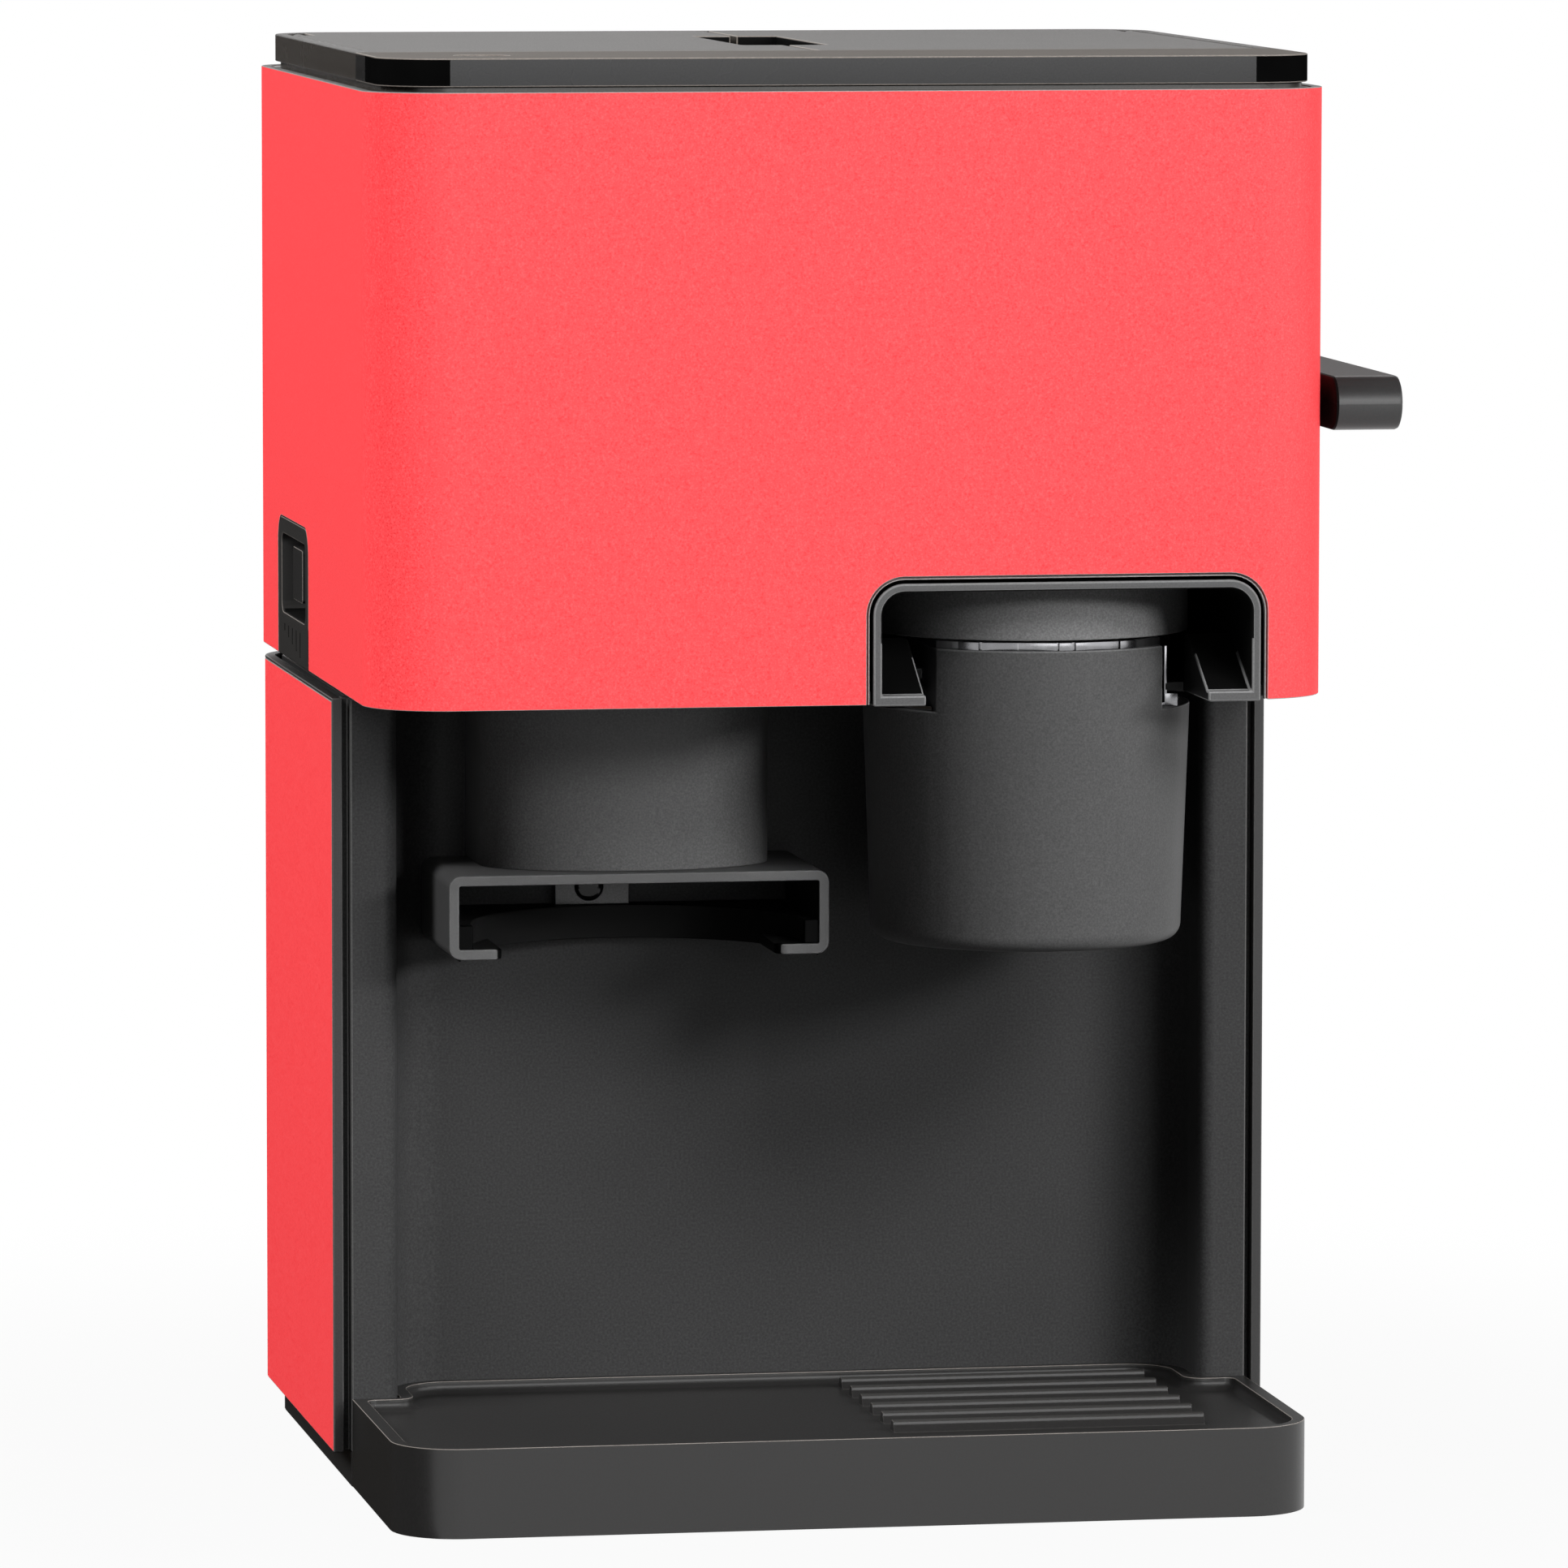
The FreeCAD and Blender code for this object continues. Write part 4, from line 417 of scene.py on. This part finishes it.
plainBrass = metalFinish("plainBrass", rgb(0.72, 0.54, 0.26), 0.3)
clearPlastic = clearFinish()

slotFinish = {"red_paint": redCoat, "matte_black": mattBlack, "gloss_black": lidBlack, "warm_grey": stripGrey,
              "grey_plastic": midGrey, "steel": polishedSteel, "satin_steel": satinSteel,
              "aluminium": castAluminium, "brass": plainBrass, "rubber": rubberBlack,
              "clear_plastic": clearPlastic, "board_green": boardGreen, "hose_white": hoseWhite}
nodeSlot = {entry["node"]: entry["material_slot"] for entry in frame["record"]["subparts"]}
nodeBody = {node: body for body, group in frame["record"]["behaviour"]["bodies"].items() for node in group}
for name, item in cadNodes.items():
    item.data.materials.clear()
    item.data.materials.append(slotFinish[nodeSlot[name]])
print("finishes:", len(bpy.data.materials))


def levelNormals(piece):
    # keeps flat faces flat beside rounded ones: the larger face sets the shading of a shared edge
    level = piece.modifiers.new("level", "WEIGHTED_NORMAL")
    level.mode = "FACE_AREA"
    level.weight = 50
    level.keep_sharp = True
    bpy.context.view_layer.update()
    evaluated = piece.evaluated_get(bpy.context.evaluated_depsgraph_get())
    mesh = bpy.data.meshes.new_from_object(evaluated)
    piece.modifiers.remove(level)
    old = piece.data
    name = old.name
    piece.data = mesh
    bpy.data.meshes.remove(old)
    mesh.name = name


def softEdges(node, finish, width, edge=None):
    # a CAD node's own shape with its sharp edges broken, as a moulded or pressed piece has them;
    # where an edge finish is given, the broken edges wear it, a tone painted to draw a highlight line along
    # them
    soft = {"weld": 2e-6, "flat": math.radians(0.8), "sharp": math.radians(28), "segments": 2,
            "farthest": 1.2 * width * mm, "crease": math.radians(32)}
    mesh = cadNodes[node].data.copy()
    mesh.name = "soft_" + node
    work = bmesh.new()
    work.from_mesh(mesh)
    bmesh.ops.remove_doubles(work, verts=work.verts, dist=soft["weld"])
    bmesh.ops.dissolve_limit(work, angle_limit=soft["flat"], verts=work.verts, edges=work.edges)
    sharp = [line for line in work.edges
             if len(line.link_faces) == 2 and line.calc_face_angle(0.0) > soft["sharp"]]
    skin = BVHTree.FromBMesh(work)
    bmesh.ops.bevel(work, geom=sharp, offset=width * mm, offset_type="OFFSET", segments=soft["segments"],
                    profile=0.5, affect="EDGES", clamp_overlap=False, material=1 if edge else -1)
    for vert in work.verts:  # a corner that the bevel threw off the surface goes back to it
        nearest, _, _, away = skin.find_nearest(vert.co)
        if away > soft["farthest"]:
            vert.co = nearest
    mesh.materials.clear()
    mesh.materials.append(finish)
    if edge:
        mesh.materials.append(edge)
    work.to_mesh(mesh)
    work.free()
    mesh.shade_smooth()
    mesh.set_sharp_from_angle(angle=soft["crease"])
    piece = bpy.data.objects.new("soft_" + node, mesh)
    scene.collection.objects.link(piece)
    levelNormals(piece)
    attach(piece, nodeBody[node])
    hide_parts(node)


# each node's finish, the width of its broken edges in millimetres and, where they differ, their finish,
# painted as a highlight line
softNodes = {"head_shell": (redCoat, 0.18, cutEdge), "rear_skin": (redCoat, 0.2, cutEdge),
             "rear_panel": (mattBlack, 0.3, darkEdge), "control_panel": (stripGrey, 0.3, lidEdge),
             "left_lid": (lidBlack, 0.3, lidEdge), "right_lid": (lidBlack, 0.3, lidEdge),
             "top_deck": (lidBlack, 0.3), "power_button": (glossBlack, 0.3),
             "slider_insert": (pocketBlack, 0.16, insertEdge), "grind_slider": (mattBlack, 0.14, paleEdge),
             "brew_dock": (dockGrey, 0.5, dockEdge), "brew_head": (brewGrey, 0.4),
             "brew_cup": (cupBlack, 0.4, cupEdge), "cup_basket": (satinSteel, 0.15),
             "lever": (leverBlack, 0.9), "grinder_column": (columnGrey, 0.3),
             "grinder_dock": (railGrey, 0.4, railEdge), "sensor_bracket": (bracketGrey, 0.25, cupEdge),
             "body_frame": (wallBlack, 0.4, darkEdge), "base": (mattBlack, 0.4),
             "drip_tray": (trayBlack, 0.16, trayEdge), "inlet_socket": (mattBlack, 0.3)}
for name, look in softNodes.items():
    softEdges(name, *look)
print("soft edges:", len(softNodes))


def addPiece(name, mesh, finish, body, instead=()):
    # hands a finished mesh over: its finish, the body that carries it and the CAD nodes it stands for
    crease = math.radians(35)
    mesh.materials.clear()
    mesh.materials.append(finish)
    mesh.shade_smooth()
    mesh.set_sharp_from_angle(angle=crease)
    piece = bpy.data.objects.new(name, mesh)
    scene.collection.objects.link(piece)
    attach(piece, body)
    if instead:
        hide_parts(*instead)


def turnedMesh(name, profile, centre, axis, steps=48, ring=False):
    # spins (radius, height) points round an axis through the centre; the ends lie on the axis,
    # or meet in a ring
    work = bmesh.new()
    turn = Vector((0, 0, 1)).rotation_difference(Vector(axis)).to_matrix()
    angles = [2 * math.pi * k / steps for k in range(steps)]
    rings = []
    for radius, height in profile:
        spun = [(radius * math.cos(a), radius * math.sin(a), height) for a in angles]
        spots = spun if radius else [(0, 0, height)]
        rings.append([work.verts.new(Vector(centre) + turn @ Vector(spot)) for spot in spots])
    for low, high in zip(rings, rings[1:] + rings[:1] if ring else rings[1:]):
        for k in range(steps):
            n = (k + 1) % steps
            if len(low) == 1:
                work.faces.new((low[0], high[n], high[k]))
            elif len(high) == 1:
                work.faces.new((low[k], low[n], high[0]))
            else:
                work.faces.new((low[k], low[n], high[n], high[k]))
    bmesh.ops.recalc_face_normals(work, faces=work.faces)
    mesh = bpy.data.meshes.new(name)
    work.to_mesh(mesh)
    work.free()
    return mesh


def boxMesh(name, blocks, bevel):
    # several plain blocks, each as four plan points with a low and a high level, with broken edges
    work = bmesh.new()
    for plan, low, high in blocks:
        verts = [work.verts.new((x, y, z)) for z in (low, high) for x, y in plan]
        work.faces.new([verts[k] for k in (3, 2, 1, 0)])
        work.faces.new([verts[k] for k in (4, 5, 6, 7)])
        for k in range(4):
            n = (k + 1) % 4
            work.faces.new((verts[k], verts[n], verts[n + 4], verts[k + 4]))
    bmesh.ops.recalc_face_normals(work, faces=work.faces)
    bmesh.ops.bevel(work, geom=work.edges, offset=bevel, offset_type="OFFSET", segments=2, profile=0.5,
                    affect="EDGES", clamp_overlap=True)
    mesh = bpy.data.meshes.new(name)
    work.to_mesh(mesh)
    work.free()
    return mesh


def sensorDome():
    # the cup sensor's dark lens: a short barrel with a bulged front
    lens = {"setBack": 1.6 * mm, "bulge": 1.5 * mm, "tip": 0.1 * mm, "rows": 9, "rowTurn": math.radians(10)}
    low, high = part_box("cup_sensor")
    middle = [(a + b) / 2 for a, b in zip(low, high)]
    radius, half = (high[0] - low[0]) / 2, (high[1] - low[1]) / 2
    bulge = [(radius * math.cos(t), half - lens["setBack"] + lens["bulge"] * math.sin(t))
             for t in (lens["rowTurn"] * k for k in range(lens["rows"]))]
    profile = [(0, -half), (radius, -half)] + bulge + [(0, half - lens["tip"])]
    mesh = turnedMesh("sensorDome", profile, middle, (0, -1, 0))
    addPiece("sensorDome", mesh, glossBlack, nodeBody["cup_sensor"], ("cup_sensor",))


def cupFoot():
    # rounds the foot of the brew cup: a ring over its chamfer, flush with the wall above and the rim below
    foot = {"centre": 35.0 * mm, "level": 143.6 * mm, "bend": 4.0 * mm, "wall": (4.045 * mm, 0.85 * mm),
            "inside": [(0.0, -3.6 * mm), (3.6 * mm, 0.0), (3.7 * mm, 0.85 * mm)], "rows": 18, "steps": 144}
    bend, rows = foot["bend"], foot["rows"]
    outer = [(bend * math.cos(a), -bend * math.sin(a))
             for a in (math.pi / 2 * k / rows for k in range(rows + 1))]
    profile = [(foot["centre"] + out, foot["level"] + up)
               for out, up in [foot["wall"]] + outer + foot["inside"]]
    mesh = turnedMesh("cupFoot", profile, cupAxis + (0.0,), (0, 0, 1), foot["steps"], ring=True)
    addPiece("cupFoot", mesh, cupBlack, nodeBody["brew_cup"])


def steelTabs():
    # flat steel tabs round the rim of the brew cup, and one on the shoulder of its right notch with a
    # line up the notch; turns are in degrees round the cup from its front
    tabs = {"radius": 40.6 * mm, "inner": 39.3 * mm, "low": 215.02 * mm, "high": 216.98 * mm,
            "turns": [(-36.0, -28.3), (-27.2, -0.4), (0.2, 5.2), (6.2, 22.9), (23.7, 31.0)],
            "notchY": (headFront + 29.0 * mm, headFront + 30.2 * mm), "edge": 0.1 * mm,
            "notch": [(83.3 * mm, 86.6 * mm, 199.35 * mm, 202.5 * mm),
                      (83.2 * mm, 83.9 * mm, 202.3 * mm, 214.4 * mm)]}
    blocks = []
    cx, cy = cupAxis
    outer, inner = tabs["radius"], tabs["inner"]
    for start, end in tabs["turns"]:
        corners = ((outer, start), (outer, end), (inner, end), (inner, start))
        plan = [(cx + r * math.sin(math.radians(a)), cy - r * math.cos(math.radians(a))) for r, a in corners]
        blocks.append((plan, tabs["low"], tabs["high"]))
    y0, y1 = tabs["notchY"]
    for x0, x1, low, high in tabs["notch"]:
        blocks.append(([(x0, y0), (x1, y0), (x1, y1), (x0, y1)], low, high))
    addPiece("steelTabs", boxMesh("steelTabs", blocks, tabs["edge"]), brightSteel, nodeBody["cup_basket"])


class Nodes:
    # a geometry tree with named sizes; make() runs it on a base mesh and gives a plain mesh back
    def __init__(self, name):
        self.name = name
        self.tree = bpy.data.node_groups.new(name, "GeometryNodeTree")
        self.tree.interface.new_socket("Base", in_out="INPUT", socket_type="NodeSocketGeometry")
        self.tree.interface.new_socket("Mesh", in_out="OUTPUT", socket_type="NodeSocketGeometry")
        self.values = {}
        self.entry = self.tree.nodes.new("NodeGroupInput")
        self.base = self.entry.outputs["Base"]

    def size(self, name, value):
        socket = self.tree.interface.new_socket(name, in_out="INPUT", socket_type="NodeSocketFloat")
        self.values[socket.identifier] = value
        return self.entry.outputs[name]

    def add(self, kind, settings, sockets, output=0):
        node = self.tree.nodes.new(kind)
        for key, value in settings.items():
            setattr(node, key, value)
        for key, value in sockets.items():
            for item in value if isinstance(value, list) else [value]:
                if isinstance(item, bpy.types.NodeSocket):
                    self.tree.links.new(item, node.inputs[key])
                else:
                    node.inputs[key].default_value = item
        return node.outputs[output]

    def join(self, parts):
        return self.add("GeometryNodeJoinGeometry", {}, {0: parts})

    def moved(self, shape, offset):
        return self.add("GeometryNodeTransform", {}, {"Geometry": shape, "Translation": offset})

    def cylinder(self, sides, radius, depth):
        return self.add("GeometryNodeMeshCylinder", {}, {"Vertices": sides, "Radius": radius, "Depth": depth})

    def onPoints(self, points, shape):
        return self.add("GeometryNodeInstanceOnPoints", {}, {"Points": points, "Instance": shape})

    def plain(self, shape):
        return self.add("GeometryNodeRealizeInstances", {}, {0: shape})

    def cut(self, shape, tool):
        return self.add("GeometryNodeMeshBoolean", {"operation": "DIFFERENCE", "solver": "EXACT"},
                        {"Mesh 1": shape, "Mesh 2": tool})

    def make(self, points, edges, shape, finish):
        dressed = self.add("GeometryNodeSetMaterial", {}, {"Geometry": self.plain(shape), "Material": finish})
        output = self.tree.nodes.new("NodeGroupOutput")
        self.tree.links.new(dressed, output.inputs["Mesh"])
        mesh = bpy.data.meshes.new(self.name + "Base")
        mesh.from_pydata(points, edges, [])
        carrier = bpy.data.objects.new(self.name + "Base", mesh)
        scene.collection.objects.link(carrier)
        modifier = carrier.modifiers.new("shape", "NODES")
        modifier.node_group = self.tree
        for identifier, value in self.values.items():
            modifier[identifier] = value
        bpy.context.view_layer.update()
        evaluated = carrier.evaluated_get(bpy.context.evaluated_depsgraph_get())
        result = bpy.data.meshes.new_from_object(evaluated)
        carrier.modifiers.remove(modifier)
        bpy.data.objects.remove(carrier)
        result.name = self.name
        return result


def dockTrim():
    # the thin lip that lines the dock's cutout in the red shell: a foot on the cut face and a raised
    # line beside it; fronts and the back are depths behind the head's front
    trim = {"gap": 1.7 * mm, "low": 203.4 * mm, "bend": 9.5 * mm, "bendSteps": 10, "back": 2.4 * mm,
            "foot": {"start": 0.0, "wide": 0.45 * mm, "front": 1.5 * mm},
            "line": {"start": 0.45 * mm, "wide": 0.26 * mm, "front": 0.35 * mm}}
    low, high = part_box("brew_dock")
    nodes = Nodes("dockTrim")
    path = nodes.add("GeometryNodeMeshToCurve", {}, {"Mesh": nodes.base})
    path = nodes.add("GeometryNodeFilletCurve", {"mode": "POLY"}, {
        "Curve": path, "Count": trim["bendSteps"], "Radius": nodes.size("bend", trim["bend"])})
    swept = []
    for part in ("foot", "line"):
        start, wide, front = (trim[part][key] for key in ("start", "wide", "front"))
        section = nodes.add("GeometryNodeCurvePrimitiveQuadrilateral", {}, {
            "Width": nodes.size(part + "Wide", wide),
            "Height": nodes.size(part + "Deep", trim["back"] - front)})
        section = nodes.moved(section, (start + wide / 2, (trim["back"] + front) / 2, 0.0))
        swept.append(nodes.add("GeometryNodeCurveToMesh", {}, {
            "Curve": path, "Profile Curve": section, "Fill Caps": True}))
    left, right, foot, top = low[0] - trim["gap"], high[0] + trim["gap"], trim["low"], high[2] + trim["gap"]
    corners = [(left, foot), (left, top), (right, top), (right, foot)]
    # the lip wears the pale cut edge tone, partly bare edge and partly a painted highlight line
    mesh = nodes.make([(x, headFront, z) for x, z in corners], [(0, 1), (1, 2), (2, 3)], nodes.join(swept),
                      cutEdge)
    addPiece("dockTrim", mesh, cutEdge, nodeBody["head_shell"])


def socketScrews():
    # four cap screws with hexagon sockets under the base
    screw = {"head": 3.5 * mm, "headDeep": 4.0 * mm, "headSides": 32,
             "shank": 1.75 * mm, "shankSides": 24, "socket": 1.5 * mm, "socketDeep": 1.6 * mm,
             "across": (-109.05 * mm, 109.05 * mm), "along": (-28.5 * mm, -11.25 * mm)}
    deep = screw["headDeep"]
    low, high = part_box("base_screws")
    shankLong = high[2] - low[2] - deep
    nodes = Nodes("socketScrews")
    head = nodes.cylinder(screw["headSides"], nodes.size("headRadius", screw["head"]), deep)
    hexagon = nodes.cylinder(6, nodes.size("socketRadius", screw["socket"]), 2 * screw["socketDeep"])
    head = nodes.cut(head, nodes.moved(hexagon, (0.0, 0.0, -deep / 2)))
    head = nodes.moved(head, (0.0, 0.0, deep / 2))
    shank = nodes.cylinder(screw["shankSides"], nodes.size("shankRadius", screw["shank"]), shankLong)
    shank = nodes.moved(shank, (0.0, 0.0, deep + shankLong / 2))
    places = [(x, y, low[2]) for x in screw["across"] for y in screw["along"]]
    mesh = nodes.make(places, [], nodes.onPoints(nodes.base, nodes.join([head, shank])), brightSteel)
    addPiece("socketScrews", mesh, brightSteel, nodeBody["base_screws"],
             ("base_screws",))


def drilledDisc(name, node, rings, hole):
    # a thin steel disc with rings of small holes through it, six more in each ring than in the last
    drilled = {"sides": 72, "holeSides": 8, "holesMore": 6, "reach": 0.9, "drillLong": 3}
    low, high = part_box(node)
    middle = tuple((a + b) / 2 for a, b in zip(low, high))
    radius, thick = (high[0] - low[0]) / 2, high[2] - low[2]
    nodes = Nodes(name)
    disc = nodes.cylinder(drilled["sides"], nodes.size("discRadius", radius), nodes.size("discThick", thick))
    drill = nodes.cylinder(drilled["holeSides"], nodes.size("holeRadius", hole), drilled["drillLong"] * thick)
    circles = [nodes.add("GeometryNodeMeshCircle", {}, {
        "Vertices": drilled["holesMore"] * k, "Radius": radius * drilled["reach"] * k / rings})
        for k in range(1, rings + 1)]
    disc = nodes.cut(disc, nodes.plain(nodes.onPoints(nodes.join(circles), drill)))
    mesh = nodes.make([middle], [], nodes.onPoints(nodes.base, disc), polishedSteel)
    addPiece(name, mesh, polishedSteel, nodeBody[node], (node,))


sensorDome()
cupFoot()
steelTabs()
dockTrim()
socketScrews()
drilledDisc("showerHoles", "shower_screen", rings=5, hole=0.8 * mm)
drilledDisc("sieveHoles", "cup_sieve", rings=8, hole=0.6 * mm)
print("small pieces ready")


def unseenRays(finish):
    # 1 where a ray comes from the camera, a reflection or a clear piece, so that they all see plain white
    paths = finish.tree.nodes.new("ShaderNodeLightPath")
    camera, glossy, clear = (Wire(finish, paths.outputs[name])
                             for name in ("Is Camera Ray", "Is Glossy Ray", "Is Transmission Ray"))
    return camera.most(glossy).most(clear)


def standFloor():
    # pale floor that keeps a soft shadow near the machine and fades to plain white away from it
    floor = {"half": 6.0, "colour": grey(0.09), "near": 0.16, "far": 0.5, "white": 0.95}
    half = floor["half"]
    mesh = bpy.data.meshes.new("floor")
    mesh.from_pydata([(-half, -half, 0), (half, -half, 0), (half, half, 0), (-half, half, 0)], [],
                     [(0, 1, 2, 3)])
    finish = Finish("floorWhite")
    distance = finish.add("ShaderNodeVectorMath", {"operation": "LENGTH"}, {0: finish.place}, "Value")
    fade = finish.add("ShaderNodeMapRange", {"interpolation_type": "SMOOTHSTEP"},
                      {"Value": distance, 1: floor["near"], 2: floor["far"], 3: floor["white"], 4: 1.0})
    paint = finish.add("ShaderNodeBsdfDiffuse", {}, {"Color": floor["colour"]})
    white = finish.add("ShaderNodeEmission", {}, {"Color": grey(1), "Strength": 1.0})
    mesh.materials.append(finish.close(finish.either(unseenRays(finish) * fade, paint, white)))
    piece = bpy.data.objects.new("floor", mesh)
    scene.collection.objects.link(piece)


def studioWorld():
    # white to the camera and to reflections, and a low even light for everything else
    world = {"ambient": 0.01, "seen": 1.0}
    studio = bpy.data.worlds.new("studio")
    studio.use_nodes = True
    tree = studio.node_tree
    tree.nodes.clear()
    paths = tree.nodes.new("ShaderNodeLightPath")
    strength = tree.nodes.new("ShaderNodeMapRange")
    strength.inputs[3].default_value = world["ambient"]
    strength.inputs[4].default_value = world["seen"]
    rays = paths.outputs["Is Camera Ray"]
    for name in ("Is Glossy Ray", "Is Transmission Ray"):
        either = tree.nodes.new("ShaderNodeMath")
        either.operation = "MAXIMUM"
        tree.links.new(rays, either.inputs[0])
        tree.links.new(paths.outputs[name], either.inputs[1])
        rays = either.outputs[0]
    tree.links.new(rays, strength.inputs["Value"])
    sky = tree.nodes.new("ShaderNodeBackground")
    sky.inputs["Color"].default_value = grey(1)
    tree.links.new(strength.outputs[0], sky.inputs["Strength"])
    output = tree.nodes.new("ShaderNodeOutputWorld")
    tree.links.new(sky.outputs[0], output.inputs["Surface"])
    scene.world = studio


def studioCard(name, corners, glow):
    # a studio flag or reflector: only reflections see it, so it gives and takes no other light
    mesh = bpy.data.meshes.new(name)
    mesh.from_pydata(corners, [], [tuple(range(len(corners)))])
    finish = Finish(name)
    light = finish.add("ShaderNodeEmission", {}, {"Color": glow, "Strength": 1.0})
    mesh.materials.append(finish.close(light))
    card = bpy.data.objects.new(name, mesh)
    card.visible_camera = False
    card.visible_diffuse = False
    card.visible_shadow = False
    card.visible_transmission = False
    scene.collection.objects.link(card)


def studioCards():
    # dark flags round the machine and two bright cards at its front; each upright card is a stretch
    # between two plan points, with its lowest and highest level and its glow
    dark = rgb(0.012, 0.010, 0.008)
    cards = {"leftFlag0": ((-1.7, -1.35), (-1.7, 2.4), 0.0, 1.4, dark),
             "leftFlag1": ((-1.7, 2.4), (-0.55, 2.4), 0.0, 1.4, dark),
             "leftFlag2": ((-0.55, 2.4), (-0.2, 2.4), 0.0, 0.55, dark),
             "rightFlag": ((1.7, 0.1), (1.7, 1.6), 0.0, 1.2, dark),
             "backFlag": ((0.42, 2.4), (1.7, 2.4), 0.0, 0.9, grey(0.08)),
             "sideCard": ((1.27, -2.03), (2.39, -0.21), 0.0, 1.3, grey(1.8)),
             "frontCard": ((-0.26, -3.0), (1.5, -2.6), 0.4, 1.3, grey(4.2))}
    for name, ((ax, ay), (bx, by), low, high, glow) in cards.items():
        studioCard(name, [(ax, ay, low), (bx, by, low), (bx, by, high), (ax, ay, high)], glow)
    level = {"ceilingFlag": (1.6, [(-1.7, -2.0), (1.7, -2.0), (1.7, 2.0), (-1.7, 2.0)]),
             "floorFlag": (0.0002, [(-0.1036, -0.1183), (-1.7, -1.35), (-1.7, 2.4), (-0.1150, 2.4),
                                    (-0.1150, -0.09)])}
    for name, (height, plan) in level.items():
        studioCard(name, [(x, y, height) for x, y in plan], dark)


def softBox(name, place, target, width, height, power, leaves=()):
    # an area lamp; like one with a flag beside it, its light keeps off the pieces that it leaves out
    data = bpy.data.lights.new(name, "AREA")
    data.shape = "RECTANGLE"
    data.size, data.size_y = width, height
    data.energy = power
    lamp = bpy.data.objects.new(name, data)
    lamp.location = place
    lamp.rotation_euler = (Vector(target) - Vector(place)).to_track_quat("-Z", "Y").to_euler()
    lamp.visible_glossy = False
    scene.collection.objects.link(lamp)
    if leaves:
        group = bpy.data.collections.new(name + "Off")
        for piece in leaves:
            group.objects.link(bpy.data.objects[piece])
        for entry in group.collection_objects:
            entry.light_linking.link_state = "EXCLUDE"
        lamp.light_linking.receiver_collection = group


def studioLamps():
    # place, target, width, height and watts of each lamp, and the pieces that it leaves out
    middle = (0.0, 0.0, 0.2)
    station = ("soft_grinder_column", "soft_brew_cup", "cupFoot")
    rail = ("soft_grinder_column", "soft_grinder_dock", "soft_brew_cup", "cupFoot")
    lamps = {"keyBox": ((1.70, -1.89, 0.88), middle, 0.8, 0.36, 35),
             "frontBox": ((1.19, -1.91, 1.78), middle, 1.2, 0.8, 53),
             "leftBox": ((-2.30, -0.58, 2.35), (-0.1, 0.0, 0.2), 1.5, 1.5, 124, station),
             "cornerBox": ((-1.30, -1.35, 2.60), (-0.1, -0.1, 0.25), 1.0, 1.0, 24, rail),
             "rearBox": ((0.9, 2.2, 1.2), middle, 1.0, 1.0, 26),
             "rearLeftBox": ((-1.3, 1.6, 0.8), middle, 1.0, 1.0, 12),
             "topBox": ((0.0, 0.3, 1.9), (0.0, 0.0, 0.3), 1.2, 1.2, 6)}
    for name, lamp in lamps.items():
        softBox(name, *lamp)


def photoCamera():
    # the place and heading that the photograph's straight edges give; focal is in widths of the picture
    view = {"place": Vector((-0.489604, -2.735080, 0.447892)), "yaw": 0.1777734, "pitch": 0.0985975,
            "roll": -0.0011806, "focal": 13449.61 / 1932, "sensor": 36.0, "farthest": 50.0}
    yaw, pitch, roll = view["yaw"], view["pitch"], view["roll"]
    ahead = Vector((math.sin(yaw) * math.cos(pitch), math.cos(yaw) * math.cos(pitch), -math.sin(pitch)))
    across = Vector((math.cos(yaw), -math.sin(yaw), 0.0))
    down = ahead.cross(across)
    right = math.cos(roll) * across + math.sin(roll) * down
    below = -math.sin(roll) * across + math.cos(roll) * down
    data = bpy.data.cameras.new("photoCamera")
    data.sensor_width = view["sensor"]
    data.lens = view["sensor"] * view["focal"]
    data.clip_end = view["farthest"]
    camera = bpy.data.objects.new("photoCamera", data)
    turn = Matrix((right, -below, -ahead)).transposed().to_4x4()
    camera.matrix_world = Matrix.Translation(view["place"]) @ turn
    scene.collection.objects.link(camera)
    scene.camera = camera


standFloor()
studioWorld()
studioCards()
studioLamps()
photoCamera()
scene.view_settings.view_transform = "Standard"
print("stage ready")
